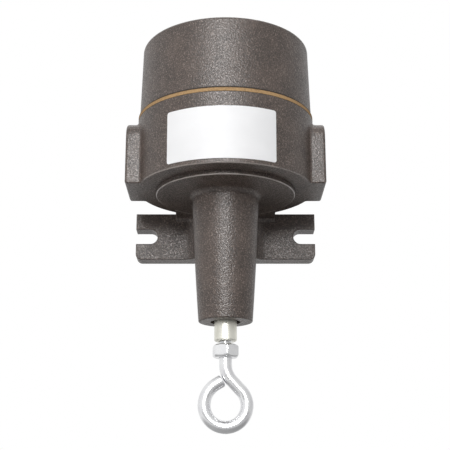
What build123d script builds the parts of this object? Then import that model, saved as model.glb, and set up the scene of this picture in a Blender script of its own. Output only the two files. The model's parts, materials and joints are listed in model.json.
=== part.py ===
from build123d import *
import os
from math import cos, pi, radians, sin, tan

os.makedirs("parts", exist_ok=True)

# A rope pull switch. A round cast body with two conduit entries and a deep cover stands on a bracket.
# The bracket's hollow neck guides a spring-loaded rod, and the eye bolt under the neck takes the rope.
# Pulling the rope draws the rod down, and the rod's insulated carrier closes a pair of contacts.
#
# Frame: the origin is the centre of the mounting foot's back face, midway between its two slots.
# +X is to the right as seen from the front, +Y points into the wall behind the foot, and +Z is up.
# All lengths are in millimetres and all angles in degrees.

# Mounting foot
foot_height = 27.8
foot_thickness = 10.7
foot_corner_radius = 3.5
foot_edge_radius = 0.6
slot_width = 8.8
slot_spacing = 88.9
slot_run = 8.35
wall_gap = 3.1

# Bracket neck, flange, shelf and web
flange_radius = 38.4
flange_proud = 2.6
flange_edge_radius = 0.5
flange_pilot = 2.8
shelf_width = 58.0
web_width = 34.0
web_corner_radius = 6.5
neck_length = 70.3
neck_top_radius = 18.3
neck_bulge = 0.35
neck_bottom_radius = 14.5
neck_root_radius = 2.7
neck_rim_radius = 0.8
spring_bore_radius = 11.5
bushing_seat_height = 20.0
guide_bore_radius = 8.2
wiper_recess = 1.2
wiper_thickness = 2.8

# Body casting
body_draft = 0.35
body_wall = 4.5
body_edge_radius = 0.8
floor_thickness = 6.4
flange_clearance = 0.2
gasket_in_recess = 0.8

# Conduit entries
boss_proud = 5.5
boss_side_wall = 4.4
boss_top_wall = 5.5
boss_drop = 2.7
boss_corner_radius = 10.0
boss_edge_radius = 1.4
boss_root_radius = 1.7
conduit_radius = 12.2
conduit_floor_gap = 0.3
conduit_thread_length = 14.0
conduit_mouth_chamfer = 0.8

# Cover and its gasket
gasket_thickness = 2.4
cover_set_back = 0.8
cover_headroom = 6.5
cover_draft = 1.75
cover_wall = 4.0
cover_roof = 4.5
cover_edge_radius = 1.8
cover_lip_radius = 0.5
cover_inner_radius = 3.0

# Cover screws, in columns of the cover and bosses of the body
cover_screw_count = 4
column_overlap = 1.0
cover_screw_turn = 45.0
column_radius = 6.0
cover_boss_depth = 16.0
cover_screw_radius = 2.4
cover_screw_grip = 11.0
cover_head_radius = 4.3
cover_head_height = 3.8
head_recess = 5.0
head_clearance = 0.5

# Screws between the body's floor and the flange
flange_screw_inset = 7.5
flange_screw_turn = 65.0
flange_screw_radius = 2.4
flange_screw_bite = 3.6
flange_head_radius = 4.3
flange_head_height = 2.8

# Screw slots and thread fits
screw_slot_width = 1.2
screw_slot_depth = 1.2
thread_clearance = 0.05
screw_hole_clearance = 0.25

# Pull rod and its guides
rod_radius = 6.0
rod_reach = 10.3
rod_end_chamfer = 0.6
stem_radius = 4.0
stem_tip_radius = 3.0
stem_shoulder_depth = 4.0
stem_thread_show = 2.0
running_clearance = 0.05
bushing_flange_thickness = 2.5
bushing_fit = 0.03
floor_bushing_radius = 7.0
floor_bushing_flange_radius = 9.5
floor_bushing_flange = 1.6
rope_travel = 8.0
stop_gap = 0.1

# Spring collar and its cross pin
collar_gap = 0.9
collar_height = 9.0
collar_chamfer = 0.6
collar_fit = 0.03
pin_radius = 1.5
pin_bore_radius = 0.8
pin_fit = 0.02

# Return spring, and what both springs share
return_wire_radius = 1.0
return_coil_gap = 1.2
return_coils = 5
closed_turns = 1
opening_turns = 0.5
arcs_per_turn = 8
spring_end_gap = 0.05

# Eye bolt and jam nut
eye_wire_radius = 3.4
eye_inner_radius = 7.8
shank_show = 3.9
eye_lean = 43.0
eye_neck_bend_radius = 12.0
eye_closing_radius = 13.0
eye_end_angle = 120.0
eye_end_gap = 0.4
eye_end_chamfer = 0.7
shank_thread_rise = 0.1
shank_engagement = 16.0
thread_below_nut = 1.2
nut_gap = 1.9
nut_height = 6.75
nut_across_flats = 13.0
nut_turn = 9.0
nut_corner_rise = 0.9

# Contact block, standing on two pillars of the body
base_height = 31.2
base_screw_inset = 6.0
base_end_gap = 7.0
base_width = 26.0
base_thickness = 8.0
base_corner_radius = 4.0
pillar_radius = 5.0
base_screw_radius = 1.9
base_screw_bite = 8.0
base_head_radius = 3.4
base_head_height = 2.4

# Fixed contacts on the block
strip_width = 12.0
strip_to_carrier = 2.0
strip_end = 0.2
strip_to_screw = 1.1
strip_thickness = 1.6
strip_corner_radius = 1.5
tip_radius = 3.0
tip_height = 1.4
tip_inset = 3.8
terminal_gap = 0.5
terminal_screw_radius = 1.9
terminal_screw_bite = 5.0
terminal_head_radius = 3.8
terminal_head_height = 2.4
clamp_side = 9.0
clamp_thickness = 1.0

# Contact carrier on the rod and the bridge that it carries
carrier_side = 12.0
carrier_slide_gap = 0.2
carrier_flange_margin = 0.4
carrier_flange_thickness = 3.0
carrier_guide_side = 9.0
carrier_guide_corner = 1.2
carrier_guide_height = 12.0
bridge_slide_gap = 0.15
bridge_end = 4.2
bridge_eye_wall = 3.35
bridge_end_width = 9.0
bridge_thickness = 1.6
closed_gap = 0.05
contact_wire_radius = 0.5
contact_coil_gap = 2.6
contact_coils = 3
carrier_washer_margin = 0.4
carrier_washer_thickness = 1.2
carrier_nut_height = 5.6
carrier_nut_across_flats = 11.1

# Ground terminal on the body's floor
ground_x = 24.0
ground_y = -16.0
ground_pad_radius = 5.0
ground_floor_left = 0.3
ground_screw_radius = 1.9
ground_screw_bite = 4.0
ground_head_radius = 4.0
ground_head_height = 2.6

# Rating label on the front of the body, bare
label_width = 60.5
label_drop = 8.1
label_rise = 2.5
label_turn = 3.0
label_thickness = 0.25
label_corner_radius = 1.4
adhesive_thickness = 0.05

# Contact block, carrier and bridge, worked out from the rod's axis outwards
contact_coil_radius = carrier_guide_side / 2 + contact_coil_gap
carrier_flange_radius = contact_coil_radius + contact_wire_radius + carrier_flange_margin
carrier_washer_radius = carrier_flange_radius + carrier_washer_margin
strip_inner = carrier_flange_radius + strip_to_carrier
tip_from_axis = strip_inner + tip_inset
bridge_length = 2 * (tip_from_axis + bridge_end)
bridge_width = carrier_guide_side + 2 * bridge_slide_gap + 2 * bridge_eye_wall
terminal_from_axis = tip_from_axis + bridge_end + terminal_gap + terminal_head_radius
strip_outer = terminal_from_axis + clamp_side / 2 + strip_end
strip_length = strip_outer - strip_inner
pillar_spacing = 2 * (strip_outer + strip_to_screw + base_head_radius)
base_length = pillar_spacing + 2 * base_screw_inset

# Housing, sized round the contact block and the conduit
cavity_radius = base_length / 2 + base_end_gap
body_radius = cavity_radius + body_wall
boss_reach = body_radius + boss_proud
boss_width = 2 * (conduit_radius + boss_side_wall)
conduit_height = floor_thickness + conduit_floor_gap + conduit_radius
boss_height = conduit_height + conduit_radius + boss_top_wall
body_height = boss_height + boss_drop
cover_radius = body_radius - cover_set_back
cover_screw_circle = cavity_radius - column_radius + column_overlap
pad_face = boss_reach - conduit_thread_length
label_height = body_height - label_drop - label_rise
floor_left = floor_thickness - flange_pilot - gasket_in_recess
ground_pad_height = ground_screw_bite + ground_floor_left - floor_left

# Bracket, rod and eye bolt
axis_to_wall = body_radius + wall_gap
foot_width = slot_spacing + 2 * slot_run
neck_middle_radius = (neck_top_radius + neck_bottom_radius) / 2 + neck_bulge
flange_screw_circle = flange_radius - flange_screw_inset
flange_screw_pitch_x = 2 * flange_screw_circle * cos(radians(flange_screw_turn))
flange_screw_pitch_y = 2 * flange_screw_circle * sin(radians(flange_screw_turn))
bushing_length = bushing_seat_height - wiper_recess - wiper_thickness
collar_radius = spring_bore_radius - collar_gap
return_coil_radius = spring_bore_radius - return_coil_gap - return_wire_radius
shank_radius = eye_wire_radius + shank_thread_rise
eye_radius = eye_inner_radius + eye_wire_radius
lean = radians(eye_lean)
bend_run = eye_neck_bend_radius * tan(lean / 2)
bend_from_eye = eye_radius / sin(lean) + bend_run
eye_below_nut = shank_show + bend_from_eye

# Heights, from the foot upwards
body_bottom = foot_height / 2
body_top = body_bottom + body_height
floor_top = body_bottom + floor_thickness
recess_top = body_bottom + flange_pilot + gasket_in_recess
flange_top = body_bottom + flange_pilot
flange_bottom = body_bottom - flange_proud
neck_bottom = flange_bottom - neck_length
cover_bottom = body_top + gasket_thickness
conduit_level = body_bottom + conduit_height
bushing_seat = neck_bottom + bushing_seat_height
bushing_top = bushing_seat + bushing_flange_thickness
bushing_bottom = bushing_seat - bushing_length
floor_bushing_top = floor_top + floor_bushing_flange
collar_top = recess_top - stop_gap
collar_bottom = collar_top - collar_height
rod_bottom = neck_bottom - rod_reach
nut_top = rod_bottom - nut_gap
nut_bottom = nut_top - nut_height
eye_centre = nut_bottom - eye_below_nut
base_bottom = body_bottom + base_height
base_top = base_bottom + base_thickness
strip_top = base_top + strip_thickness
fixed_tip_top = strip_top + tip_height
moving_tip_bottom = fixed_tip_top + rope_travel + closed_gap
bridge_bottom = moving_tip_bottom + tip_height
bridge_top = bridge_bottom + bridge_thickness
carrier_flange_bottom = bridge_bottom - carrier_flange_thickness
carrier_bottom = floor_bushing_top + rope_travel + stop_gap
carrier_top = bridge_bottom + carrier_guide_height
stem_shoulder = carrier_flange_bottom - stem_shoulder_depth
washer_top = carrier_top + carrier_washer_thickness
stem_top = washer_top + carrier_nut_height + stem_thread_show
cover_ceiling = stem_top + cover_headroom
cover_top = cover_ceiling + cover_roof
cover_height = cover_top - cover_bottom

# Radii that follow from the drafts
body_bottom_radius = body_radius - body_height * tan(radians(body_draft))
cover_top_radius = cover_radius - cover_height * tan(radians(cover_draft))

# Looseness with which edges are picked by their place
near = 0.01
beside = 1.0

axis_plane = Plane.XZ.offset(axis_to_wall)
housing_axis = Axis((0, -axis_to_wall, 0), (0, 0, 1))
upwards = (Align.CENTER, Align.CENTER, Align.MIN)
downwards = (Align.CENTER, Align.CENTER, Align.MAX)


def level(height):
    """Horizontal plane on the housing's axis, at a height."""
    return Plane(origin=(0, -axis_to_wall, height))


def distance_from_axis(shape):
    """How far the middle of an edge or face lies from the housing's axis."""
    centre = shape.center()
    return (centre.X**2 + (centre.Y + axis_to_wall) ** 2) ** 0.5


def slotted_screw(head_radius, head_height, shank_radius, shank_length):
    """Adds a screw with a slotted head at each location in force, the head's seat at the location."""
    Cylinder(head_radius, head_height, align=upwards)
    Cylinder(shank_radius, shank_length, align=downwards)
    with Locations((0, 0, head_height)):
        Box(2 * head_radius, screw_slot_width, screw_slot_depth, align=downwards, mode=Mode.SUBTRACT)


def spring_line(coil_radius, wire_radius, coils, bottom, top):
    """Adds the centreline of a compression spring: tangent arcs that lie close in the end turns."""
    arcs = (coils + 2 * closed_turns) * arcs_per_turn
    turn = 2 * pi / arcs_per_turn
    turns_from_end = [min(step, arcs - step) / arcs_per_turn for step in range(arcs + 1)]
    openness = [min(max(turns - closed_turns, 0) / opening_turns, 1) for turns in turns_from_end]
    closed_rise = (2 * wire_radius + spring_end_gap) / arcs_per_turn
    open_rise = (top - bottom - arcs * closed_rise) / sum(openness)
    height = bottom
    start = Vector(coil_radius, -axis_to_wall, bottom)
    tangent = Vector(0, 1, closed_rise / (2 * coil_radius * tan(turn / 2)))
    for step in range(1, arcs + 1):
        height += closed_rise + open_rise * (openness[step - 1] + openness[step]) / 2
        end = Vector(
            coil_radius * cos(step * turn), coil_radius * sin(step * turn) - axis_to_wall, height
        )
        arc = TangentArc(start, end, tangent=tangent)
        start = arc @ 1
        tangent = arc % 1


# Bracket: flange and neck turned about the housing's axis, with the shelf, web and foot behind them
with BuildPart() as neck_bracket:
    with BuildSketch(axis_plane):
        with BuildLine():
            Polyline(
                (neck_top_radius, flange_bottom),
                (flange_radius, flange_bottom),
                (flange_radius, flange_top),
                (0, flange_top),
                (0, neck_bottom),
                (neck_bottom_radius, neck_bottom),
            )
            ThreePointArc(
                (neck_bottom_radius, neck_bottom),
                (neck_middle_radius, (neck_bottom + flange_bottom) / 2),
                (neck_top_radius, flange_bottom),
            )
        make_face()
        neck_root = vertices().sort_by_distance((neck_top_radius, flange_bottom))[0]
        fillet(neck_root, radius=neck_root_radius)
        neck_rim = vertices().sort_by_distance((neck_bottom_radius, neck_bottom))[0]
        fillet(neck_rim, radius=neck_rim_radius)
        flange_rim = vertices().sort_by_distance((flange_radius, flange_bottom))[0]
        fillet(flange_rim, radius=flange_edge_radius)
    revolve(axis=housing_axis)
    with BuildSketch(Plane.XZ):
        Rectangle(foot_width, foot_height)
        fillet(vertices().group_by(Axis.Y)[0], radius=foot_corner_radius)
        for side in (-1, 1):
            with Locations((side * (slot_spacing / 2 + foot_width / 2), 0)):
                SlotOverall(foot_width + slot_width, slot_width, mode=Mode.SUBTRACT)
    extrude(amount=foot_thickness)
    with BuildSketch(level(flange_bottom)):
        Rectangle(shelf_width, axis_to_wall, align=(Align.CENTER, Align.MIN))
    extrude(amount=flange_proud)
    with BuildSketch(level(-foot_height / 2)):
        Rectangle(web_width, axis_to_wall, align=(Align.CENTER, Align.MIN))
    extrude(amount=flange_bottom + foot_height / 2)
    foot_front = edges().filter_by_position(Axis.Y, -foot_thickness - near, -foot_thickness + near)
    web_roots = foot_front.filter_by(Axis.Z).sort_by(lambda edge: abs(edge.center().X))[:2]
    fillet(web_roots, radius=web_corner_radius)
    foot_front = edges().filter_by_position(Axis.Y, -foot_thickness - near, -foot_thickness + near)
    foot_rim = foot_front.filter_by(lambda edge: abs(edge.center().X) > shelf_width / 2 + near)
    fillet(foot_rim, radius=foot_edge_radius)
    with Locations(level(flange_top)):
        Hole(spring_bore_radius, depth=flange_top - bushing_seat)
    with Locations(level(flange_top)):
        Hole(guide_bore_radius)
    with Locations(level(flange_top)):
        with GridLocations(flange_screw_pitch_x, flange_screw_pitch_y, 2, 2):
            Hole(flange_screw_radius + thread_clearance, depth=flange_screw_bite + thread_clearance)
neck_bracket.part.label = "neck_bracket"
export_step(neck_bracket.part, "parts/neck_bracket.step")

# Gasket between the bracket's flange and the body's recess
with BuildPart() as flange_gasket:
    with BuildSketch(level(flange_top)):
        Circle(flange_radius)
        Circle(spring_bore_radius, mode=Mode.SUBTRACT)
        with GridLocations(flange_screw_pitch_x, flange_screw_pitch_y, 2, 2):
            Circle(flange_screw_radius + screw_hole_clearance, mode=Mode.SUBTRACT)
    extrude(amount=gasket_in_recess)
flange_gasket.part.label = "flange_gasket"
export_step(flange_gasket.part, "parts/flange_gasket.step")

# Body casting: a drafted cup with a boss for each conduit entry
with BuildPart() as housing_body:
    with BuildSketch(axis_plane):
        with BuildLine():
            Polyline(
                (0, body_bottom),
                (body_bottom_radius, body_bottom),
                (body_radius, body_top),
                (0, body_top),
                close=True,
            )
        make_face()
    revolve(axis=housing_axis)
    with BuildSketch(Plane((0, -axis_to_wall, body_bottom), x_dir=(0, 1, 0), z_dir=(1, 0, 0))):
        Rectangle(boss_width, boss_height, align=(Align.CENTER, Align.MIN))
        fillet(vertices().group_by(Axis.Y)[-1], radius=boss_corner_radius)
    extrude(amount=boss_reach, both=True)
    boss_roots = (
        edges()
        .filter_by(lambda edge: body_bottom + beside < edge.center().Z < body_top - beside)
        .filter_by(
            lambda edge: body_bottom_radius - beside < distance_from_axis(edge) < body_radius + beside
        )
    )
    fillet(boss_roots, radius=boss_root_radius)
    for end in (0, -1):
        fillet(faces().sort_by(Axis.X)[end].edges(), radius=boss_edge_radius)
    lower_edges = edges().filter_by_position(Axis.Z, body_bottom - near, body_bottom + near)
    fillet(lower_edges, radius=body_edge_radius)
    with BuildSketch(level(floor_top)):
        Circle(cavity_radius)
        with Locations((-cavity_radius, 0), (cavity_radius, 0)):
            Rectangle(2 * (cavity_radius - pad_face), boss_width, mode=Mode.SUBTRACT)
    extrude(amount=body_top - floor_top, mode=Mode.SUBTRACT)
    with BuildSketch(level(body_bottom)):
        Circle(flange_radius + flange_clearance)
    extrude(amount=recess_top - body_bottom, mode=Mode.SUBTRACT)
    with BuildSketch(level(body_top - cover_boss_depth)):
        with PolarLocations(cover_screw_circle, cover_screw_count, start_angle=cover_screw_turn):
            Circle(column_radius)
    extrude(amount=cover_boss_depth)
    with BuildSketch(level(floor_top)):
        with GridLocations(0, pillar_spacing, 1, 2):
            Circle(pillar_radius)
    extrude(amount=base_bottom - floor_top)
    with BuildSketch(level(floor_top)):
        with Locations((ground_x, ground_y)):
            Circle(ground_pad_radius)
    extrude(amount=ground_pad_height)
    with BuildSketch(Plane((0, -axis_to_wall, conduit_level), x_dir=(0, 1, 0), z_dir=(1, 0, 0))):
        Circle(conduit_radius)
    extrude(amount=boss_reach, both=True, mode=Mode.SUBTRACT)
    conduit_edges = (
        edges()
        .filter_by(GeomType.CIRCLE)
        .filter_by(lambda edge: abs(edge.radius - conduit_radius) < near)
        .sort_by(Axis.X)
    )
    chamfer([conduit_edges[0], conduit_edges[-1]], length=conduit_mouth_chamfer)
    with Locations(level(body_top)):
        with PolarLocations(cover_screw_circle, cover_screw_count, start_angle=cover_screw_turn):
            Hole(cover_screw_radius + thread_clearance, depth=cover_screw_grip + thread_clearance)
    with Locations(level(floor_top)):
        Hole(floor_bushing_radius + bushing_fit)
        with GridLocations(flange_screw_pitch_x, flange_screw_pitch_y, 2, 2):
            Hole(flange_screw_radius + screw_hole_clearance)
    with Locations(level(base_bottom)):
        with GridLocations(0, pillar_spacing, 1, 2):
            Hole(base_screw_radius + thread_clearance, depth=base_screw_bite + thread_clearance)
    with Locations(level(floor_top + ground_pad_height)):
        with Locations((ground_x, ground_y)):
            Hole(ground_screw_radius + thread_clearance, depth=ground_screw_bite + thread_clearance)
housing_body.part.label = "housing_body"
export_step(housing_body.part, "parts/housing_body.step")

# Gasket between the body and the cover, with an eye round each screw
with BuildPart() as cover_gasket:
    with BuildSketch(level(body_top)):
        Circle(body_radius)
        Circle(cavity_radius, mode=Mode.SUBTRACT)
        with PolarLocations(cover_screw_circle, cover_screw_count, start_angle=cover_screw_turn):
            Circle(column_radius)
        with PolarLocations(cover_screw_circle, cover_screw_count, start_angle=cover_screw_turn):
            Circle(cover_screw_radius + screw_hole_clearance, mode=Mode.SUBTRACT)
    extrude(amount=gasket_thickness)
cover_gasket.part.label = "cover_gasket"
export_step(cover_gasket.part, "parts/cover_gasket.step")

# Cover: a deep drafted cup with a column for each screw
with BuildPart() as housing_cover:
    with BuildSketch(axis_plane):
        with BuildLine():
            Polyline(
                (0, cover_bottom),
                (cover_radius, cover_bottom),
                (cover_top_radius, cover_top),
                (0, cover_top),
                close=True,
            )
        make_face()
        fillet(vertices().sort_by_distance((cover_top_radius, cover_top))[0], radius=cover_edge_radius)
        fillet(vertices().sort_by_distance((cover_radius, cover_bottom))[0], radius=cover_lip_radius)
    revolve(axis=housing_axis)
    with BuildSketch(axis_plane):
        with BuildLine():
            Polyline(
                (0, cover_bottom),
                (cover_radius - cover_wall, cover_bottom),
                (cover_top_radius - cover_wall, cover_ceiling),
                (0, cover_ceiling),
                close=True,
            )
        make_face()
        fillet(
            vertices().sort_by_distance((cover_top_radius - cover_wall, cover_ceiling))[0],
            radius=cover_inner_radius,
        )
    revolve(axis=housing_axis, mode=Mode.SUBTRACT)
    with BuildSketch(level(cover_bottom)):
        with PolarLocations(cover_screw_circle, cover_screw_count, start_angle=cover_screw_turn):
            Circle(column_radius)
    extrude(amount=cover_ceiling - cover_bottom)
    with Locations(level(cover_top)):
        with PolarLocations(cover_screw_circle, cover_screw_count, start_angle=cover_screw_turn):
            CounterBoreHole(
                cover_screw_radius + screw_hole_clearance,
                cover_head_radius + head_clearance,
                head_recess,
            )
housing_cover.part.label = "housing_cover"
export_step(housing_cover.part, "parts/housing_cover.step")

# Cover screws
with BuildPart() as cover_screws:
    with Locations(level(cover_top - head_recess)):
        with PolarLocations(cover_screw_circle, cover_screw_count, start_angle=cover_screw_turn):
            slotted_screw(
                cover_head_radius,
                cover_head_height,
                cover_screw_radius,
                cover_top - head_recess - body_top + cover_screw_grip,
            )
cover_screws.part.label = "cover_screws"
export_step(cover_screws.part, "parts/cover_screws.step")

# Screws that hold the body on the bracket's flange, put in from inside
with BuildPart() as flange_screws:
    with Locations(level(floor_top)):
        with GridLocations(flange_screw_pitch_x, flange_screw_pitch_y, 2, 2):
            slotted_screw(
                flange_head_radius,
                flange_head_height,
                flange_screw_radius,
                floor_top - flange_top + flange_screw_bite,
            )
flange_screws.part.label = "flange_screws"
export_step(flange_screws.part, "parts/flange_screws.step")

# Bronze bushing that guides the rod at the foot of the neck
with BuildPart() as neck_bushing:
    with Locations(level(bushing_seat)):
        Cylinder(spring_bore_radius - bushing_fit, bushing_flange_thickness, align=upwards)
        Cylinder(guide_bore_radius - bushing_fit, bushing_length, align=downwards)
    with Locations(level(bushing_top)):
        Hole(rod_radius + running_clearance)
neck_bushing.part.label = "neck_bushing"
export_step(neck_bushing.part, "parts/neck_bushing.step")

# Rubber wiper under the bushing, set back from the neck's end
with BuildPart() as rod_wiper:
    with BuildSketch(level(neck_bottom + wiper_recess)):
        Circle(guide_bore_radius - bushing_fit)
        Circle(rod_radius + running_clearance, mode=Mode.SUBTRACT)
    extrude(amount=bushing_bottom - neck_bottom - wiper_recess)
rod_wiper.part.label = "rod_wiper"
export_step(rod_wiper.part, "parts/rod_wiper.step")

# Flanged bushing in the body's floor, which guides the rod's stem
with BuildPart() as floor_bushing:
    with Locations(level(floor_top)):
        Cylinder(floor_bushing_flange_radius, floor_bushing_flange, align=upwards)
        Cylinder(floor_bushing_radius, floor_top - recess_top, align=downwards)
    with Locations(level(floor_bushing_top)):
        Hole(stem_radius + running_clearance)
floor_bushing.part.label = "floor_bushing"
export_step(floor_bushing.part, "parts/floor_bushing.step")

# Pull rod: thick below the collar, a thinner stem above it, tapped at the bottom for the eye bolt
with BuildPart() as pull_rod:
    with BuildSketch(axis_plane):
        with BuildLine():
            Polyline(
                (0, rod_bottom),
                (rod_radius, rod_bottom),
                (rod_radius, collar_top),
                (stem_radius, collar_top),
                (stem_radius, stem_shoulder),
                (stem_tip_radius, stem_shoulder),
                (stem_tip_radius, stem_top),
                (0, stem_top),
                close=True,
            )
        make_face()
        rod_corners = vertices().filter_by(lambda vertex: vertex.X > 0).sort_by(Axis.Y)
        chamfer([rod_corners[0], rod_corners[-1]], length=rod_end_chamfer)
    revolve(axis=housing_axis)
    with Locations(Plane((0, -axis_to_wall, rod_bottom), x_dir=(1, 0, 0), z_dir=(0, 0, -1))):
        Hole(shank_radius + thread_clearance, depth=shank_engagement + thread_clearance)
    with Locations(Plane((rod_radius, -axis_to_wall, collar_bottom + collar_height / 2), z_dir=(1, 0, 0))):
        Hole(pin_radius + pin_fit)
pull_rod.part.label = "pull_rod"
export_step(pull_rod.part, "parts/pull_rod.step")

# Collar that the return spring pushes up against the body's floor
with BuildPart() as spring_collar:
    with Locations(level(collar_bottom)):
        Cylinder(collar_radius, collar_height, align=upwards)
        chamfer(edges().filter_by(GeomType.CIRCLE), length=collar_chamfer)
    with Locations(level(collar_top)):
        Hole(rod_radius + collar_fit)
    with Locations(Plane((collar_radius, -axis_to_wall, collar_bottom + collar_height / 2), z_dir=(1, 0, 0))):
        Hole(pin_radius + pin_fit)
spring_collar.part.label = "spring_collar"
export_step(spring_collar.part, "parts/spring_collar.step")

# Rolled pin through the collar and the rod
with BuildPart() as collar_pin:
    with BuildSketch(Plane((0, -axis_to_wall, collar_bottom + collar_height / 2), z_dir=(1, 0, 0))):
        Circle(pin_radius)
        Circle(pin_bore_radius, mode=Mode.SUBTRACT)
    extrude(amount=collar_radius - collar_chamfer, both=True)
collar_pin.part.label = "collar_pin"
export_step(collar_pin.part, "parts/collar_pin.step")

# Return spring between the neck bushing and the collar, with closed ends ground flat
return_spring_bottom = bushing_top + spring_end_gap
return_spring_top = collar_bottom - spring_end_gap
with BuildPart() as return_spring:
    with BuildLine() as return_line:
        spring_line(
            return_coil_radius, return_wire_radius, return_coils, return_spring_bottom, return_spring_top
        )
    with BuildSketch(Plane(origin=return_line.line @ 0, z_dir=return_line.line % 0)):
        Circle(return_wire_radius)
    sweep(path=return_line.line)
    split(bisect_by=level(return_spring_bottom), keep=Keep.TOP)
    split(bisect_by=level(return_spring_top), keep=Keep.BOTTOM)
return_spring.part.label = "return_spring"
export_step(return_spring.part, "parts/return_spring.step")

# Jam nut that locks the eye bolt against the rod
with BuildPart() as jam_nut:
    with BuildSketch(level(nut_bottom)):
        RegularPolygon(nut_across_flats / 2, 6, major_radius=False, rotation=nut_turn - 90)
    extrude(amount=nut_height)
    with BuildSketch(axis_plane):
        nut_corner = nut_across_flats / 2 / cos(pi / 6)
        with BuildLine():
            Polyline(
                (0, nut_bottom),
                (nut_across_flats / 2, nut_bottom),
                (nut_corner, nut_bottom + nut_corner_rise),
                (nut_corner, nut_top - nut_corner_rise),
                (nut_across_flats / 2, nut_top),
                (0, nut_top),
                close=True,
            )
        make_face()
    revolve(axis=housing_axis, mode=Mode.INTERSECT)
    with Locations(level(nut_top)):
        Hole(shank_radius + thread_clearance)
jam_nut.part.label = "jam_nut"
export_step(jam_nut.part, "parts/jam_nut.step")

# Eye bolt: a straight shank that leans to the right and bends round to the left into the eye. The
# eye's last part runs on a wider arc, and its cut end points at the shank's bend and closes on it.
shank_top = rod_bottom + shank_engagement
end_turn = radians(eye_end_angle)
end_x = eye_closing_radius - eye_radius + eye_closing_radius * cos(end_turn)
end_rise = eye_closing_radius * sin(end_turn)
along_end = (eye_neck_bend_radius - end_x) * sin(end_turn) - (bend_from_eye - end_rise) * cos(end_turn)
past_bend = (eye_neck_bend_radius - end_x) ** 2 + (bend_from_eye - end_rise) ** 2 - along_end**2
bend_side = eye_neck_bend_radius + eye_wire_radius + eye_end_gap
eye_end_run = along_end - (bend_side**2 - past_bend) ** 0.5
with BuildPart() as eye_bolt:
    with BuildLine() as eye_path:
        shank_line = Line(
            (0, -axis_to_wall, shank_top), (0, -axis_to_wall, eye_centre + bend_from_eye)
        )
        bend_end = Vector(
            bend_run * sin(lean), -axis_to_wall, eye_centre + eye_radius / sin(lean) - bend_run * cos(lean)
        )
        bend = TangentArc(shank_line @ 1, bend_end, tangent=shank_line % 1)
        eye_start = Vector(eye_radius * cos(lean), -axis_to_wall, eye_centre + eye_radius * sin(lean))
        lean_line = Line(bend @ 1, eye_start)
        eye_foot = Vector(0, -axis_to_wall, eye_centre - eye_radius)
        lower_arc = TangentArc(lean_line @ 1, eye_foot, tangent=lean_line % 1)
        eye_left = Vector(-eye_radius, -axis_to_wall, eye_centre)
        left_arc = TangentArc(lower_arc @ 1, eye_left, tangent=lower_arc % 1)
        closing_end = Vector(end_x, -axis_to_wall, eye_centre + end_rise)
        closing_arc = TangentArc(left_arc @ 1, closing_end, tangent=left_arc % 1)
        end_line = Line(closing_arc @ 1, closing_arc @ 1 + eye_end_run * (closing_arc % 1))
    with BuildSketch(Plane(origin=shank_line @ 0, z_dir=shank_line % 0)):
        Circle(eye_wire_radius)
    sweep(path=eye_path.line)
    cut_edge = (
        edges()
        .filter_by(GeomType.CIRCLE)
        .filter_by(lambda edge: abs(edge.radius - eye_wire_radius) < near)
        .sort_by(lambda edge: (edge.arc_center - end_line @ 1).length)[0]
    )
    chamfer(cut_edge, length=eye_end_chamfer)
    with Locations(level(nut_bottom - thread_below_nut)):
        Cylinder(shank_radius, shank_top - nut_bottom + thread_below_nut, align=upwards)
eye_bolt.part.label = "eye_bolt"
export_step(eye_bolt.part, "parts/eye_bolt.step")

# Moulded contact block, with a square opening for the carrier
with BuildPart() as contact_base:
    with BuildSketch(level(base_bottom)):
        Rectangle(base_width, base_length)
        fillet(vertices(), radius=base_corner_radius)
        Rectangle(
            carrier_side + 2 * carrier_slide_gap, carrier_side + 2 * carrier_slide_gap, mode=Mode.SUBTRACT
        )
    extrude(amount=base_thickness)
    with Locations(level(base_top)):
        with GridLocations(0, pillar_spacing, 1, 2):
            Hole(base_screw_radius + screw_hole_clearance)
        with GridLocations(0, 2 * terminal_from_axis, 1, 2):
            Hole(terminal_screw_radius + thread_clearance, depth=terminal_screw_bite + thread_clearance)
contact_base.part.label = "contact_base"
export_step(contact_base.part, "parts/contact_base.step")

# Screws that hold the contact block on its pillars
with BuildPart() as base_screws:
    with Locations(level(base_top)):
        with GridLocations(0, pillar_spacing, 1, 2):
            slotted_screw(
                base_head_radius, base_head_height, base_screw_radius, base_thickness + base_screw_bite
            )
base_screws.part.label = "base_screws"
export_step(base_screws.part, "parts/base_screws.step")

# Fixed contact strips, one each side of the carrier
with BuildPart() as fixed_contacts:
    with BuildSketch(level(base_top)):
        with GridLocations(0, 2 * strip_inner + strip_length, 1, 2):
            RectangleRounded(strip_width, strip_length, strip_corner_radius)
        with GridLocations(0, 2 * terminal_from_axis, 1, 2):
            Circle(terminal_screw_radius + screw_hole_clearance, mode=Mode.SUBTRACT)
    extrude(amount=strip_thickness)
fixed_contacts.part.label = "fixed_contacts"
export_step(fixed_contacts.part, "parts/fixed_contacts.step")

# Silver tips on the fixed strips
with BuildPart() as fixed_contact_tips:
    with Locations(level(strip_top)):
        with GridLocations(0, 2 * tip_from_axis, 1, 2):
            Cylinder(tip_radius, tip_height, align=upwards)
fixed_contact_tips.part.label = "fixed_contact_tips"
export_step(fixed_contact_tips.part, "parts/fixed_contact_tips.step")

# Wire clamps under the terminal screws
with BuildPart() as terminal_clamps:
    with BuildSketch(level(strip_top)):
        with GridLocations(0, 2 * terminal_from_axis, 1, 2):
            RectangleRounded(clamp_side, clamp_side, strip_corner_radius)
            Circle(terminal_screw_radius + screw_hole_clearance, mode=Mode.SUBTRACT)
    extrude(amount=clamp_thickness)
terminal_clamps.part.label = "terminal_clamps"
export_step(terminal_clamps.part, "parts/terminal_clamps.step")

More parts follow.
